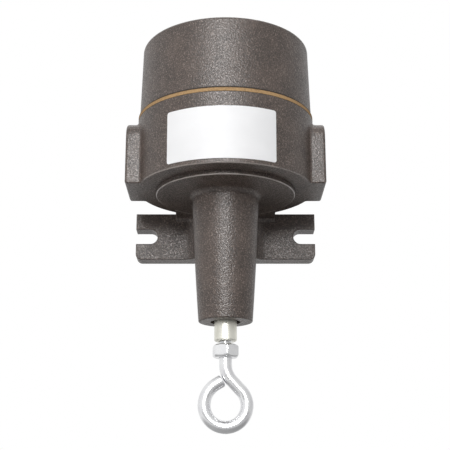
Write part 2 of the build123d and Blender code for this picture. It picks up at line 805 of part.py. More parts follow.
# Terminal screws
with BuildPart() as terminal_screws:
    with Locations(level(strip_top + clamp_thickness)):
        with GridLocations(0, 2 * terminal_from_axis, 1, 2):
            slotted_screw(
                terminal_head_radius,
                terminal_head_height,
                terminal_screw_radius,
                clamp_thickness + strip_thickness + terminal_screw_bite,
            )
terminal_screws.part.label = "terminal_screws"
export_step(terminal_screws.part, "parts/terminal_screws.step")

# Ground screw on its pad
with BuildPart() as ground_screw:
    with Locations(level(floor_top + ground_pad_height)):
        with Locations((ground_x, ground_y)):
            slotted_screw(
                ground_head_radius, ground_head_height, ground_screw_radius, ground_screw_bite
            )
ground_screw.part.label = "ground_screw"
export_step(ground_screw.part, "parts/ground_screw.step")

# Insulating carrier on the rod's stem: a square sleeve, a flange under the bridge and a square guide
with BuildPart() as contact_carrier:
    with BuildSketch(level(carrier_bottom)):
        Rectangle(carrier_side, carrier_side)
        fillet(vertices(), radius=carrier_guide_corner)
    extrude(amount=carrier_flange_bottom - carrier_bottom)
    with BuildSketch(level(carrier_flange_bottom)):
        Circle(carrier_flange_radius)
    extrude(amount=carrier_flange_thickness)
    with BuildSketch(level(bridge_bottom)):
        Rectangle(carrier_guide_side, carrier_guide_side)
        fillet(vertices(), radius=carrier_guide_corner)
    extrude(amount=carrier_guide_height)
    with Locations(Plane((0, -axis_to_wall, carrier_bottom), x_dir=(1, 0, 0), z_dir=(0, 0, -1))):
        Hole(stem_radius + running_clearance, depth=stem_shoulder - carrier_bottom)
    with Locations(level(carrier_top)):
        Hole(stem_tip_radius + running_clearance)
contact_carrier.part.label = "contact_carrier"
export_step(contact_carrier.part, "parts/contact_carrier.step")

# Contact bridge: a waisted strip with a square eye for the carrier's guide
with BuildPart() as contact_bridge:
    with BuildSketch(level(bridge_bottom)):
        SlotOverall(bridge_length, bridge_end_width, rotation=90)
        Circle(bridge_width / 2)
        Rectangle(
            carrier_guide_side + 2 * bridge_slide_gap,
            carrier_guide_side + 2 * bridge_slide_gap,
            mode=Mode.SUBTRACT,
        )
    extrude(amount=bridge_thickness)
contact_bridge.part.label = "contact_bridge"
export_step(contact_bridge.part, "parts/contact_bridge.step")

# Silver tips under the bridge
with BuildPart() as bridge_tips:
    with Locations(level(bridge_bottom)):
        with GridLocations(0, 2 * tip_from_axis, 1, 2):
            Cylinder(tip_radius, tip_height, align=downwards)
bridge_tips.part.label = "bridge_tips"
export_step(bridge_tips.part, "parts/bridge_tips.step")

# Contact spring between the bridge and the washer, with closed ends ground flat
contact_spring_bottom = bridge_top + spring_end_gap
contact_spring_top = carrier_top - spring_end_gap
with BuildPart() as contact_spring:
    with BuildLine() as contact_line:
        spring_line(
            contact_coil_radius,
            contact_wire_radius,
            contact_coils,
            contact_spring_bottom,
            contact_spring_top,
        )
    with BuildSketch(Plane(origin=contact_line.line @ 0, z_dir=contact_line.line % 0)):
        Circle(contact_wire_radius)
    sweep(path=contact_line.line)
    split(bisect_by=level(contact_spring_bottom), keep=Keep.TOP)
    split(bisect_by=level(contact_spring_top), keep=Keep.BOTTOM)
contact_spring.part.label = "contact_spring"
export_step(contact_spring.part, "parts/contact_spring.step")

# Washer that the contact spring bears against
with BuildPart() as carrier_washer:
    with BuildSketch(level(carrier_top)):
        Circle(carrier_washer_radius)
        Circle(stem_tip_radius + running_clearance, mode=Mode.SUBTRACT)
    extrude(amount=carrier_washer_thickness)
carrier_washer.part.label = "carrier_washer"
export_step(carrier_washer.part, "parts/carrier_washer.step")

# Nut at the top of the rod's stem
with BuildPart() as carrier_nut:
    with BuildSketch(level(washer_top)):
        RegularPolygon(carrier_nut_across_flats / 2, 6, major_radius=False)
        Circle(stem_tip_radius + thread_clearance, mode=Mode.SUBTRACT)
    extrude(amount=carrier_nut_height)
carrier_nut.part.label = "carrier_nut"
export_step(carrier_nut.part, "parts/carrier_nut.step")

# Label, bent to the front of the body and turned a little to the left
label_top = body_top - label_drop
label_bottom = label_top - label_height
label_arc = label_width / body_radius * 180 / pi
wall_slope = tan(radians(body_draft))
with BuildPart() as rating_label:
    label_start = Plane(
        origin=(0, -axis_to_wall, 0),
        x_dir=Vector(1, 0, 0).rotate(Axis.Z, -90 - label_turn - label_arc / 2),
        z_dir=Vector(0, -1, 0).rotate(Axis.Z, -90 - label_turn - label_arc / 2),
    )
    upper_radius = body_radius - label_drop * wall_slope + adhesive_thickness
    lower_radius = upper_radius - label_height * wall_slope
    with BuildSketch(label_start):
        with BuildLine():
            Polyline(
                (upper_radius, label_top),
                (upper_radius + label_thickness, label_top),
                (lower_radius + label_thickness, label_bottom),
                (lower_radius, label_bottom),
                close=True,
            )
        make_face()
    revolve(axis=housing_axis, revolution_arc=label_arc)
    label_corners = edges().sort_by(lambda edge: edge.length)[:4]
    fillet(label_corners, radius=label_corner_radius)
rating_label.part.label = "rating_label"
export_step(rating_label.part, "parts/rating_label.step")
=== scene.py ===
"""Looks of the rope pull switch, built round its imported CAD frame.

The frame's pieces keep their shapes and places and get node-based finishes here. Finer pieces stand
for the eye bolt, the jam nut, the springs, the rod wiper and the slotted screws. The conduit threads
and the fillets of the foot's shelf are added. Lengths are in metres, in the frame's axes: +X right,
+Y into the wall, +Z up.
"""

from __future__ import annotations

import json
import logging
import math
from collections.abc import Callable
from dataclasses import dataclass
from enum import Enum

import bmesh
import bpy
from mathutils import Matrix, Vector

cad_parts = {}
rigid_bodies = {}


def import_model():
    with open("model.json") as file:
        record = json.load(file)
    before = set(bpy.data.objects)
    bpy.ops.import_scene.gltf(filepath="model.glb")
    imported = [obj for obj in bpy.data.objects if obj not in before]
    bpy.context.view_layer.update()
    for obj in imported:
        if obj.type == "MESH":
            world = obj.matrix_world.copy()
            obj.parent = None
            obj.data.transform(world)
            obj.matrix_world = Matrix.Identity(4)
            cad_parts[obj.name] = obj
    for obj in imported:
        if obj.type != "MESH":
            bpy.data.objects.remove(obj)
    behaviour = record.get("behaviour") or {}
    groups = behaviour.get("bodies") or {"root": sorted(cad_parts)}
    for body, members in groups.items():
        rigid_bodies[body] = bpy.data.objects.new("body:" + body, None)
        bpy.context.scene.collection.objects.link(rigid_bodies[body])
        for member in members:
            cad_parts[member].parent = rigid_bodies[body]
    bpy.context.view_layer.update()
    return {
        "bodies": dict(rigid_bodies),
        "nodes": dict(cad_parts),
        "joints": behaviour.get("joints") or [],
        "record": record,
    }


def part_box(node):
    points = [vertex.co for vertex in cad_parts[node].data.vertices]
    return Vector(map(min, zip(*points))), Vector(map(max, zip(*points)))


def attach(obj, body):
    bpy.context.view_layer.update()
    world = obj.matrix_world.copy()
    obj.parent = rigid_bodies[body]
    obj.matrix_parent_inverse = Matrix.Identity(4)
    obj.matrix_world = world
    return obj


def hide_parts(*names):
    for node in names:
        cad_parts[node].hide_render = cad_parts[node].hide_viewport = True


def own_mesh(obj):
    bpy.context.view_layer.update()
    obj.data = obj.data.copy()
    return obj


MM = 0.001
log = logging.getLogger("rope_pull_switch")

Colour = tuple[float, float, float]
Profile = list[tuple[float, float]]


class Slot(Enum):
    """Material slots of the part's record."""

    CASTING = "cast_housing"
    FIBRE = "gasket_fibre"
    RUBBER = "seal_rubber"
    ZINC = "zinc_steel"
    ROD = "rod_steel"
    SCREW = "screw_steel"
    SPRING = "spring_steel"
    BRONZE = "bronze"
    MOULDING = "black_moulding"
    BRASS = "contact_brass"
    SILVER = "contact_silver"
    GROUND = "ground_green"
    LABEL = "label_white"


class Body(Enum):
    """Bodies of the part's behaviour."""

    HOUSING = "housing"
    ROD = "rod"
    BRIDGE = "bridge"


class Wall(Enum):
    """Which side of a round wall a thread stands on."""

    OUTSIDE = 1
    INSIDE = -1


class Wiring:
    """The nodes and links of one shader tree."""

    def __init__(self, tree: bpy.types.NodeTree) -> None:
        """Start wiring a tree.

        Args:
            tree: The material's or group's node tree.
        """
        self.tree = tree

    def add(self, kind: str, settings: dict | None = None, **inputs: object) -> bpy.types.Node:
        """Add a node and fill its inputs.

        Args:
            kind: Blender's name of the node type.
            settings: Properties of the node itself.
            inputs: A value or an output socket for each input, with _ for a space in its name.

        Returns:
            The new node.
        """
        node = self.tree.nodes.new(kind)
        for key, value in (settings or {}).items():
            setattr(node, key, value)
        for key, value in inputs.items():
            self.put(value, node.inputs[key.replace("_", " ")])
        return node

    def put(self, value: object, socket: bpy.types.NodeSocket) -> None:
        """Link an output socket to an input, or set the input's value."""
        if isinstance(value, bpy.types.NodeSocket):
            self.tree.links.new(value, socket)
        else:
            socket.default_value = value

    def math(self, operation: str, first: object, second: object = 0.0) -> bpy.types.NodeSocket:
        """Add a math node.

        Args:
            operation: Blender's name of the operation.
            first: First value or socket.
            second: Second value or socket.

        Returns:
            The result's socket.
        """
        node = self.tree.nodes.new("ShaderNodeMath")
        node.operation = operation
        self.put(first, node.inputs[0])
        self.put(second, node.inputs[1])
        return node.outputs[0]

    def blend(self, factor: object, first: object, second: object) -> bpy.types.NodeSocket:
        """Add a colour mix.

        Args:
            factor: Share of the second colour.
            first: First colour or socket.
            second: Second colour or socket.

        Returns:
            The mixed colour's socket.
        """
        node = self.tree.nodes.new("ShaderNodeMix")
        node.data_type = "RGBA"
        for value, index in ((factor, 0), (first, 6), (second, 7)):
            self.put(value, node.inputs[index])
        return node.outputs[2]

    def span(
        self, value: object, low: float, high: float, to_low: float = 0.0, to_high: float = 1.0
    ) -> bpy.types.NodeSocket:
        """Map a range of values to another and clamp it.

        Args:
            value: The socket that is mapped.
            low: Value that becomes to_low.
            high: Value that becomes to_high.
            to_low: Result at low.
            to_high: Result at high.

        Returns:
            The mapped value's socket.
        """
        node = self.add("ShaderNodeMapRange", Value=value)
        for key, number in (
            ("From Min", low),
            ("From Max", high),
            ("To Min", to_low),
            ("To Max", to_high),
        ):
            node.inputs[key].default_value = number
        return node.outputs["Result"]

    def noise(self, vector: object, size: object, detail: float = 2.0) -> bpy.types.NodeSocket:
        """Add a noise whose spots have about a given size in metres.

        Args:
            vector: Coordinates.
            size: Spot size, a value or a socket.
            detail: Octaves of the noise.

        Returns:
            The noise's value, about 0.3 to 0.7.
        """
        scale = self.math("DIVIDE", 1.0, size)
        return self.add("ShaderNodeTexNoise", Vector=vector, Scale=scale, Detail=detail).outputs["Fac"]


def colour(value: Colour) -> tuple[float, float, float, float]:
    """Give a colour its alpha of 1."""
    return (*value, 1.0)


def new_group(
    name: str, inputs: dict[str, object], outputs: dict[str, str]
) -> tuple[bpy.types.NodeTree, Wiring, bpy.types.Node, bpy.types.Node]:
    """Start a shader node group.

    Args:
        name: The group's name.
        inputs: Each input's name and default, a number or a colour.
        outputs: Each output's name and socket type.

    Returns:
        The group, its wiring, its input node and its output node.
    """
    tree = bpy.data.node_groups.new(name, "ShaderNodeTree")
    for key, value in inputs.items():
        kind = "NodeSocketFloat" if isinstance(value, float) else "NodeSocketColor"
        tree.interface.new_socket(key, in_out="INPUT", socket_type=kind).default_value = value
    for key, kind in outputs.items():
        tree.interface.new_socket(key, in_out="OUTPUT", socket_type=kind)
    wiring = Wiring(tree)
    return tree, wiring, wiring.add("NodeGroupInput"), wiring.add("NodeGroupOutput")


def cast_grain_group() -> bpy.types.NodeTree:
    """Build the look of a sand-cast skin under a thin coat: mottled, with fine bright specks.

    Returns:
        The group, with Colour, Rough and Height outputs.
    """
    tree, wiring, given, result = new_group(
        "cast_grain",
        {
            "Grain Size": 0.5 * MM,
            "Patch Size": 9.0 * MM,
            "Base": colour((0.07, 0.06, 0.055)),
            "Worn": colour((0.10, 0.09, 0.08)),
            "Speck": colour((0.25, 0.23, 0.22)),
        },
        {"Colour": "NodeSocketColor", "Rough": "NodeSocketFloat", "Height": "NodeSocketFloat"},
    )
    place = wiring.add("ShaderNodeTexCoord").outputs["Object"]
    patches = wiring.noise(place, given.outputs["Patch Size"], 4.0)
    grain = wiring.noise(place, given.outputs["Grain Size"], 3.0)
    pits = wiring.add(
        "ShaderNodeTexVoronoi",
        Vector=place,
        Scale=wiring.math("DIVIDE", 0.8, given.outputs["Grain Size"]),
    ).outputs["Distance"]
    cloudy = wiring.math("MULTIPLY", wiring.span(patches, 0.38, 0.66), 0.35)
    mottled = wiring.math("MULTIPLY", wiring.span(grain, 0.40, 0.60), 0.65)
    worn = wiring.math("ADD", cloudy, mottled)
    speck = wiring.span(grain, 0.58, 0.70)
    ground = wiring.blend(worn, given.outputs["Base"], given.outputs["Worn"])
    wiring.put(wiring.blend(speck, ground, given.outputs["Speck"]), result.inputs["Colour"])
    rough = wiring.span(grain, 0.42, 0.60, 0.48, 0.31)
    wiring.put(rough, result.inputs["Rough"])
    height = wiring.math("ADD", wiring.math("MULTIPLY", pits, 0.6), grain)
    wiring.put(height, result.inputs["Height"])
    return tree


def plating_group() -> bpy.types.NodeTree:
    """Build the look of plated metal: soft clouds, and fine hairlines in many directions.

    Returns:
        The group, with Colour, Rough and Height outputs.
    """
    tree, wiring, given, result = new_group(
        "plating",
        {
            "Cloud Size": 6.0 * MM,
            "Line Size": 0.25 * MM,
            "Bright": colour((0.8, 0.8, 0.8)),
            "Dull": colour((0.6, 0.6, 0.6)),
            "Polish": 0.2,
        },
        {"Colour": "NodeSocketColor", "Rough": "NodeSocketFloat", "Height": "NodeSocketFloat"},
    )
    place = wiring.add("ShaderNodeTexCoord").outputs["Object"]
    clouds = wiring.span(wiring.noise(place, given.outputs["Cloud Size"], 3.0), 0.35, 0.68)
    stretched = wiring.add(
        "ShaderNodeMapping", Vector=place, Rotation=(0.3, 0.5, 0.2), Scale=(1.0, 0.12, 1.0)
    ).outputs["Vector"]
    lines = wiring.noise(stretched, given.outputs["Line Size"], 2.0)
    wiring.put(
        wiring.blend(clouds, given.outputs["Bright"], given.outputs["Dull"]), result.inputs["Colour"]
    )
    spread = wiring.math("ADD", wiring.math("MULTIPLY", clouds, 0.10), wiring.math("MULTIPLY", lines, 0.12))
    wiring.put(wiring.math("ADD", spread, given.outputs["Polish"]), result.inputs["Rough"])
    wiring.put(lines, result.inputs["Height"])
    return tree


def turned_group() -> bpy.types.NodeTree:
    """Build the fine rings that a lathe leaves round an upright axis.

    Returns:
        The group, with a Height output.
    """
    tree, wiring, given, result = new_group(
        "turned_rings", {"Ring Pitch": 0.3 * MM}, {"Height": "NodeSocketFloat"}
    )
    place = wiring.add("ShaderNodeTexCoord").outputs["Object"]
    rings = wiring.add(
        "ShaderNodeTexWave",
        {"wave_type": "BANDS", "bands_direction": "Z"},
        Vector=place,
        Scale=wiring.math("DIVIDE", 0.3, given.outputs["Ring Pitch"]),
        Distortion=1.2,
        Detail=1.0,
    ).outputs["Fac"]
    wiring.put(rings, result.inputs["Height"])
    return tree


def fibre_group() -> bpy.types.NodeTree:
    """Build pressed fibre: short strands of two tones lying round the edge.

    Returns:
        The group, with Colour and Height outputs.
    """
    tree, wiring, given, result = new_group(
        "pressed_fibre",
        {
            "Strand Size": 0.35 * MM,
            "Base": colour((0.5, 0.3, 0.1)),
            "Strand": colour((0.3, 0.17, 0.05)),
        },
        {"Colour": "NodeSocketColor", "Height": "NodeSocketFloat"},
    )
    place = wiring.add("ShaderNodeTexCoord").outputs["Object"]
    flat = wiring.add("ShaderNodeMapping", Vector=place, Scale=(0.3, 0.3, 1.0)).outputs["Vector"]
    strands = wiring.noise(flat, given.outputs["Strand Size"], 4.0)
    clumps = wiring.noise(place, wiring.math("MULTIPLY", given.outputs["Strand Size"], 14.0), 3.0)
    dark = wiring.math("MULTIPLY", wiring.span(strands, 0.45, 0.68), wiring.span(clumps, 0.3, 0.6, 0.5, 1.0))
    wiring.put(wiring.blend(dark, given.outputs["Base"], given.outputs["Strand"]), result.inputs["Colour"])
    wiring.put(strands, result.inputs["Height"])
    return tree


def worn_edges_and_highlight_group() -> bpy.types.NodeTree:
    """Build the mask of outer edges that are painted light: a coat rubbed thin there, and a painted highlight
    along them.

    Returns:
        The group, with a Mask output that is 1 on an outer edge and 0 on flats and in corners.
    """
    tree, wiring, given, result = new_group(
        "worn_edges_and_highlight",
        {"Width": 0.5 * MM, "Patch Size": 7.0 * MM},
        {"Mask": "NodeSocketFloat"},
    )
    place = wiring.add("ShaderNodeTexCoord").outputs["Object"]
    rounded = wiring.add("ShaderNodeBevel", {"samples": 6}, Radius=given.outputs["Width"])
    flat = wiring.add("ShaderNodeNewGeometry").outputs["Normal"]
    match = wiring.add("ShaderNodeVectorMath", {"operation": "DOT_PRODUCT"})
    wiring.put(rounded.outputs["Normal"], match.inputs[0])
    wiring.put(flat, match.inputs[1])
    turned = wiring.span(match.outputs["Value"], 0.96, 0.82)
    openness = wiring.add("ShaderNodeAmbientOcclusion", {"samples": 6}, Distance=2.0 * MM)
    outer = wiring.span(openness.outputs["AO"], 0.50, 0.80)
    patches = wiring.noise(place, given.outputs["Patch Size"], 3.0)
    uneven = wiring.span(patches, 0.3, 0.65, 0.45, 1.0)
    wiring.put(wiring.math("MULTIPLY", wiring.math("MULTIPLY", turned, outer), uneven), result.inputs["Mask"])
    return tree


def rubbed_ring_and_highlight_group() -> bpy.types.NodeTree:
    """Build the mask of one round edge that is painted light, given by its circle: a rubbed coat and a painted
    highlight.

    Returns:
        The group, with a Mask output that is 1 along the circle.
    """
    tree, wiring, given, result = new_group(
        "rubbed_ring_and_highlight",
        {"Axis Y": 0.0, "Radius": 38.0 * MM, "Level": 11.0 * MM, "Width": 0.4 * MM, "Side": 50.0 * MM},
        {"Mask": "NodeSocketFloat"},
    )
    place = wiring.add("ShaderNodeTexCoord").outputs["Object"]
    axes = wiring.add("ShaderNodeSeparateXYZ", Vector=place).outputs
    across = wiring.math("SUBTRACT", axes["Y"], given.outputs["Axis Y"])
    reach = wiring.math(
        "SQRT", wiring.math("ADD", wiring.math("POWER", axes["X"], 2.0), wiring.math("POWER", across, 2.0))
    )
    off_circle = wiring.math("SUBTRACT", reach, given.outputs["Radius"])
    off_level = wiring.math("SUBTRACT", axes["Z"], given.outputs["Level"])
    apart = wiring.math(
        "SQRT", wiring.math("ADD", wiring.math("POWER", off_circle, 2.0), wiring.math("POWER", off_level, 2.0))
    )
    near = wiring.span(wiring.math("DIVIDE", apart, given.outputs["Width"]), 1.0, 0.6)
    beyond = wiring.math("SUBTRACT", wiring.math("ABSOLUTE", axes["X"]), given.outputs["Side"])
    near = wiring.math("MULTIPLY", near, wiring.span(beyond, 0.8 * MM, -0.8 * MM))
    uneven = wiring.span(wiring.noise(place, 4.0 * MM, 3.0), 0.3, 0.6, 0.55, 1.0)
    wiring.put(wiring.math("MULTIPLY", near, uneven), result.inputs["Mask"])
    return tree


class GroupShelf:
    """The shared node groups, each built once when it is first asked for."""

    makers: dict[str, Callable[[], bpy.types.NodeTree]] = {
        "cast_grain": cast_grain_group,
        "plating": plating_group,
        "turned_rings": turned_group,
        "pressed_fibre": fibre_group,
        "worn_edges_and_highlight": worn_edges_and_highlight_group,
        "rubbed_ring_and_highlight": rubbed_ring_and_highlight_group,
    }

    @classmethod
    def place(cls, wiring: Wiring, name: str, values: dict[str, object]) -> bpy.types.Node:
        """Put a shared group into a material.

        Args:
            wiring: The material's wiring.
            name: The group's name.
            values: The material's own values for the group's inputs.

        Returns:
            The group node.
        """
        tree = bpy.data.node_groups.get(name) or cls.makers[name]()
        node = wiring.add("ShaderNodeGroup", {"node_tree": tree})
        for key, value in values.items():
            node.inputs[key].default_value = value
        return node


def start_material(slot: Slot) -> tuple[bpy.types.Material, Wiring, bpy.types.Node]:
    """Make an empty node material with a Principled BSDF.

    Args:
        slot: The record's slot that the material is for.

    Returns:
        The material, its wiring and its Principled BSDF.
    """
    material = bpy.data.materials.new(slot.value)
    material.use_nodes = True
    wiring = Wiring(material.node_tree)
    return material, wiring, material.node_tree.nodes["Principled BSDF"]


def add_bump(
    wiring: Wiring, shader: bpy.types.Node, height: bpy.types.NodeSocket, depth: float, strength: float
) -> None:
    """Drive a shader's normal by a height.

    Args:
        wiring: The material's wiring.
        shader: The Principled BSDF.
        height: The height's socket, 0 to 1.
        depth: Depth in metres of a height of 1.
        strength: Share of the bump that shows.
    """
    bump = wiring.add("ShaderNodeBump", Height=height, Distance=depth, Strength=strength)
    wiring.put(bump.outputs["Normal"], shader.inputs["Normal"])


@dataclass(frozen=True)
class CastFinish:
    """Thin dark coat over a sand-cast skin. Its outer edges and two rims are painted light, partly as a worn
    coat and partly as a painted highlight, and a band round the gasket's joint is painted dark as shade.
    """

    slot: Slot
    base: Colour
    worn: Colour
    speck: Colour
    # edge is the light colour of worn edges and rims: partly a bare coat, partly a painted highlight.
    edge: Colour
    edge_share: float = 0.75
    edge_width: float = 0.5 * MM
    axis_y: float = -52.1 * MM
    # Rims painted light, each as circle radius, height, width, side limit and share: the flange's lower edge
    # and the body's lower edge.
    rings: tuple[tuple[float, float, float, float, float], ...] = (
        (38.25 * MM, 11.45 * MM, 0.42 * MM, 50.0 * MM, 0.65),
        (48.55 * MM, 14.15 * MM, 0.50 * MM, 43.5 * MM, 0.36),
    )
    edge_rough: float = 0.22
    # The next five fields paint a dark band on the casting next to the gasket: painted shade along the cover's
    # lower edge and the body's top edge.
    seam_shadow_level: float = 54.8 * MM
    seam_shadow_inner: float = 1.50 * MM
    seam_shadow_outer: float = 1.95 * MM
    seam_shadow_share: float = 0.9
    seam_shadow_colour: Colour = (0.008, 0.006, 0.005)
    grain_size: float = 0.74 * MM
    patch_size: float = 11.0 * MM
    depth: float = 0.19 * MM
    strength: float = 1.0
    specular: float = 0.70

    def build(self) -> bpy.types.Material:
        """Build the material."""
        material, wiring, shader = start_material(self.slot)
        grain = GroupShelf.place(
            wiring,
            "cast_grain",
            {
                "Grain Size": self.grain_size,
                "Patch Size": self.patch_size,
                "Base": colour(self.base),
                "Worn": colour(self.worn),
                "Speck": colour(self.speck),
            },
        )
        # Painted highlight and wear: outer edges and the two rims take the light edge colour and a lower
        # roughness.
        edges = GroupShelf.place(wiring, "worn_edges_and_highlight", {"Width": self.edge_width})
        wear_and_highlight = wiring.math("MULTIPLY", edges.outputs["Mask"], self.edge_share)
        for radius, level, width, side, share in self.rings:
            values = {"Axis Y": self.axis_y, "Radius": radius, "Level": level, "Width": width, "Side": side}
            ring = GroupShelf.place(wiring, "rubbed_ring_and_highlight", values)
            wear_and_highlight = wiring.math("MAXIMUM", wear_and_highlight, wiring.math("MULTIPLY", ring.outputs["Mask"], share))
        # Painted shade: the band round the gasket's joint is darkened and made rough.
        place = wiring.add("ShaderNodeTexCoord").outputs["Object"]
        level = wiring.add("ShaderNodeSeparateXYZ", Vector=place).outputs["Z"]
        off_seam_shadow = wiring.math("ABSOLUTE", wiring.math("SUBTRACT", level, self.seam_shadow_level))
        seam_shadow_mask = wiring.span(off_seam_shadow, self.seam_shadow_inner, self.seam_shadow_outer, self.seam_shadow_share, 0.0)
        wear_and_highlight = wiring.math("MULTIPLY", wear_and_highlight, wiring.math("SUBTRACT", 1.0, seam_shadow_mask))
        tone = wiring.blend(wear_and_highlight, grain.outputs["Colour"], colour(self.edge))
        wiring.put(wiring.blend(seam_shadow_mask, tone, colour(self.seam_shadow_colour)), shader.inputs["Base Color"])
        rubbed = wiring.math("MULTIPLY", wear_and_highlight, wiring.math("SUBTRACT", grain.outputs["Rough"], self.edge_rough))
        rough = wiring.math("SUBTRACT", grain.outputs["Rough"], rubbed)
        wiring.put(wiring.math("MAXIMUM", rough, seam_shadow_mask), shader.inputs["Roughness"])
        shader.inputs["Specular IOR Level"].default_value = self.specular
        add_bump(wiring, shader, grain.outputs["Height"], self.depth, self.strength)
        return material


@dataclass(frozen=True)
class MetalFinish:
    """Plated or plain metal, with lathe rings where they are asked for."""

    slot: Slot
    bright: Colour
    dull: Colour
    polish: float
    cloud_size: float = 6.0 * MM
    line_size: float = 0.3 * MM
    depth: float = 0.02 * MM
    strength: float = 0.3
    ring_pitch: float = 0.0

    def build(self) -> bpy.types.Material:
        """Build the material."""
        material, wiring, shader = start_material(self.slot)
        plating = GroupShelf.place(
            wiring,
            "plating",
            {
                "Cloud Size": self.cloud_size,
                "Line Size": self.line_size,
                "Bright": colour(self.bright),
                "Dull": colour(self.dull),
                "Polish": self.polish,
            },
        )
        wiring.put(plating.outputs["Colour"], shader.inputs["Base Color"])
        wiring.put(plating.outputs["Rough"], shader.inputs["Roughness"])
        shader.inputs["Metallic"].default_value = 1.0
        height = plating.outputs["Height"]
        if self.ring_pitch:
            rings = GroupShelf.place(wiring, "turned_rings", {"Ring Pitch": self.ring_pitch})
            height = wiring.math("ADD", height, rings.outputs["Height"])
        add_bump(wiring, shader, height, self.depth, self.strength)
        return material


@dataclass(frozen=True)
class FibreFinish:
    """Pressed gasket fibre, with painted shade along its top and bottom edges."""

    slot: Slot
    base: Colour
    strand: Colour
    strand_size: float = 0.35 * MM
    # The next four fields paint darker bands along the gasket's top and bottom edges: painted shade where the
    # cover and the body meet it.
    seam_shadow_level: float = 54.4 * MM
    seam_shadow_inner: float = 0.74 * MM
    seam_shadow_outer: float = 1.00 * MM
    seam_shadow_colour: Colour = (0.030, 0.020, 0.014)
    roughness: float = 0.85
    depth: float = 0.12 * MM
    strength: float = 0.6

    def build(self) -> bpy.types.Material:
        """Build the material."""
        material, wiring, shader = start_material(self.slot)
        fibre = GroupShelf.place(
            wiring,
            "pressed_fibre",
            {
                "Strand Size": self.strand_size,
                "Base": colour(self.base),
                "Strand": colour(self.strand),
            },
        )
        # Painted shade: the fibre is darkened towards its top and bottom edges.
        place = wiring.add("ShaderNodeTexCoord").outputs["Object"]
        level = wiring.add("ShaderNodeSeparateXYZ", Vector=place).outputs["Z"]
        off_level = wiring.math("ABSOLUTE", wiring.math("SUBTRACT", level, self.seam_shadow_level))
        gasket_edge_shade = wiring.span(off_level, self.seam_shadow_inner, self.seam_shadow_outer, 0.0, 0.85)
        tone = wiring.blend(gasket_edge_shade, fibre.outputs["Colour"], colour(self.seam_shadow_colour))
        wiring.put(tone, shader.inputs["Base Color"])
        shader.inputs["Roughness"].default_value = self.roughness
        add_bump(wiring, shader, fibre.outputs["Height"], self.depth, self.strength)
        return material


@dataclass(frozen=True)
class SmoothFinish:
    """Moulded, rubber, film or dyed surface with a faint texture."""

    slot: Slot
    base: Colour
    shade: Colour
    roughness: float
    texture_size: float = 0.4 * MM
    depth: float = 0.03 * MM
    strength: float = 0.3
    metallic: float = 0.0

    def build(self) -> bpy.types.Material:
        """Build the material."""
        material, wiring, shader = start_material(self.slot)
        place = wiring.add("ShaderNodeTexCoord").outputs["Object"]
        clouds = wiring.span(wiring.noise(place, 22 * self.texture_size, 3.0), 0.35, 0.65)
        texture = wiring.noise(place, self.texture_size, 3.0)
        tone = wiring.blend(clouds, colour(self.base), colour(self.shade))
        wiring.put(tone, shader.inputs["Base Color"])
        rough = wiring.span(texture, 0.3, 0.7, self.roughness - 0.06, self.roughness + 0.06)
        wiring.put(rough, shader.inputs["Roughness"])
        shader.inputs["Metallic"].default_value = self.metallic
        add_bump(wiring, shader, texture, self.depth, self.strength)
        return material


Finish = CastFinish | MetalFinish | FibreFinish | SmoothFinish

FINISHES: tuple[Finish, ...] = (
    CastFinish(
        Slot.CASTING,
        base=(0.031, 0.0220, 0.018),
        worn=(0.103, 0.076, 0.063),
        speck=(0.205, 0.162, 0.140),
        # Light colour of the worn edges and rims, partly a painted highlight.
        edge=(0.55, 0.50, 0.47),
    ),
    FibreFinish(Slot.FIBRE, (0.42, 0.265, 0.125), (0.23, 0.138, 0.066)),
    SmoothFinish(Slot.RUBBER, (0.012, 0.012, 0.012), (0.022, 0.021, 0.02), 0.62),
    MetalFinish(Slot.ZINC, (0.90, 0.905, 0.91), (0.80, 0.80, 0.82), 0.14, strength=0.05),
    MetalFinish(Slot.ROD, (0.86, 0.85, 0.77), (0.76, 0.75, 0.67), 0.30, ring_pitch=0.35 * MM),
    MetalFinish(Slot.SCREW, (0.66, 0.66, 0.67), (0.48, 0.48, 0.49), 0.26),
    MetalFinish(Slot.SPRING, (0.36, 0.36, 0.38), (0.22, 0.22, 0.23), 0.28),
    MetalFinish(Slot.BRONZE, (0.62, 0.40, 0.20), (0.42, 0.26, 0.12), 0.34),
    SmoothFinish(Slot.MOULDING, (0.022, 0.020, 0.018), (0.032, 0.028, 0.024), 0.42),
    MetalFinish(Slot.BRASS, (0.80, 0.60, 0.28), (0.62, 0.45, 0.20), 0.24),
    MetalFinish(Slot.SILVER, (0.90, 0.89, 0.86), (0.74, 0.73, 0.70), 0.12),
    SmoothFinish(Slot.GROUND, (0.03, 0.22, 0.06), (0.02, 0.15, 0.04), 0.30, metallic=0.7),
    SmoothFinish(
        Slot.LABEL, (0.84, 0.84, 0.85), (0.80, 0.80, 0.81), 0.55, texture_size=0.8 * MM, strength=0.12
    ),
)


class Paintbox:
    """The finished materials, one for each slot."""

    def __init__(self) -> None:
        """Build every finish."""
        self.materials = {finish.slot: finish.build() for finish in FINISHES}

    def dress(self, piece: bpy.types.Object, slot: Slot) -> None:
        """Give a piece one finish all over."""
        piece.data.materials.clear()
        piece.data.materials.append(self.materials[slot])

    def dress_frame(self, frame: dict) -> None:
        """Give each CAD node the finish of its slot.
        """
        for entry in frame["record"]["subparts"]:
            node = frame["nodes"][entry["node"]]
            material = self.materials[Slot(entry["material_slot"])]
            if not node.material_slots:
                node.data.materials.append(material)
            for material_slot in node.material_slots:
                material_slot.material = material
            log.info("dressed %s as %s", entry["node"], entry["material_slot"])


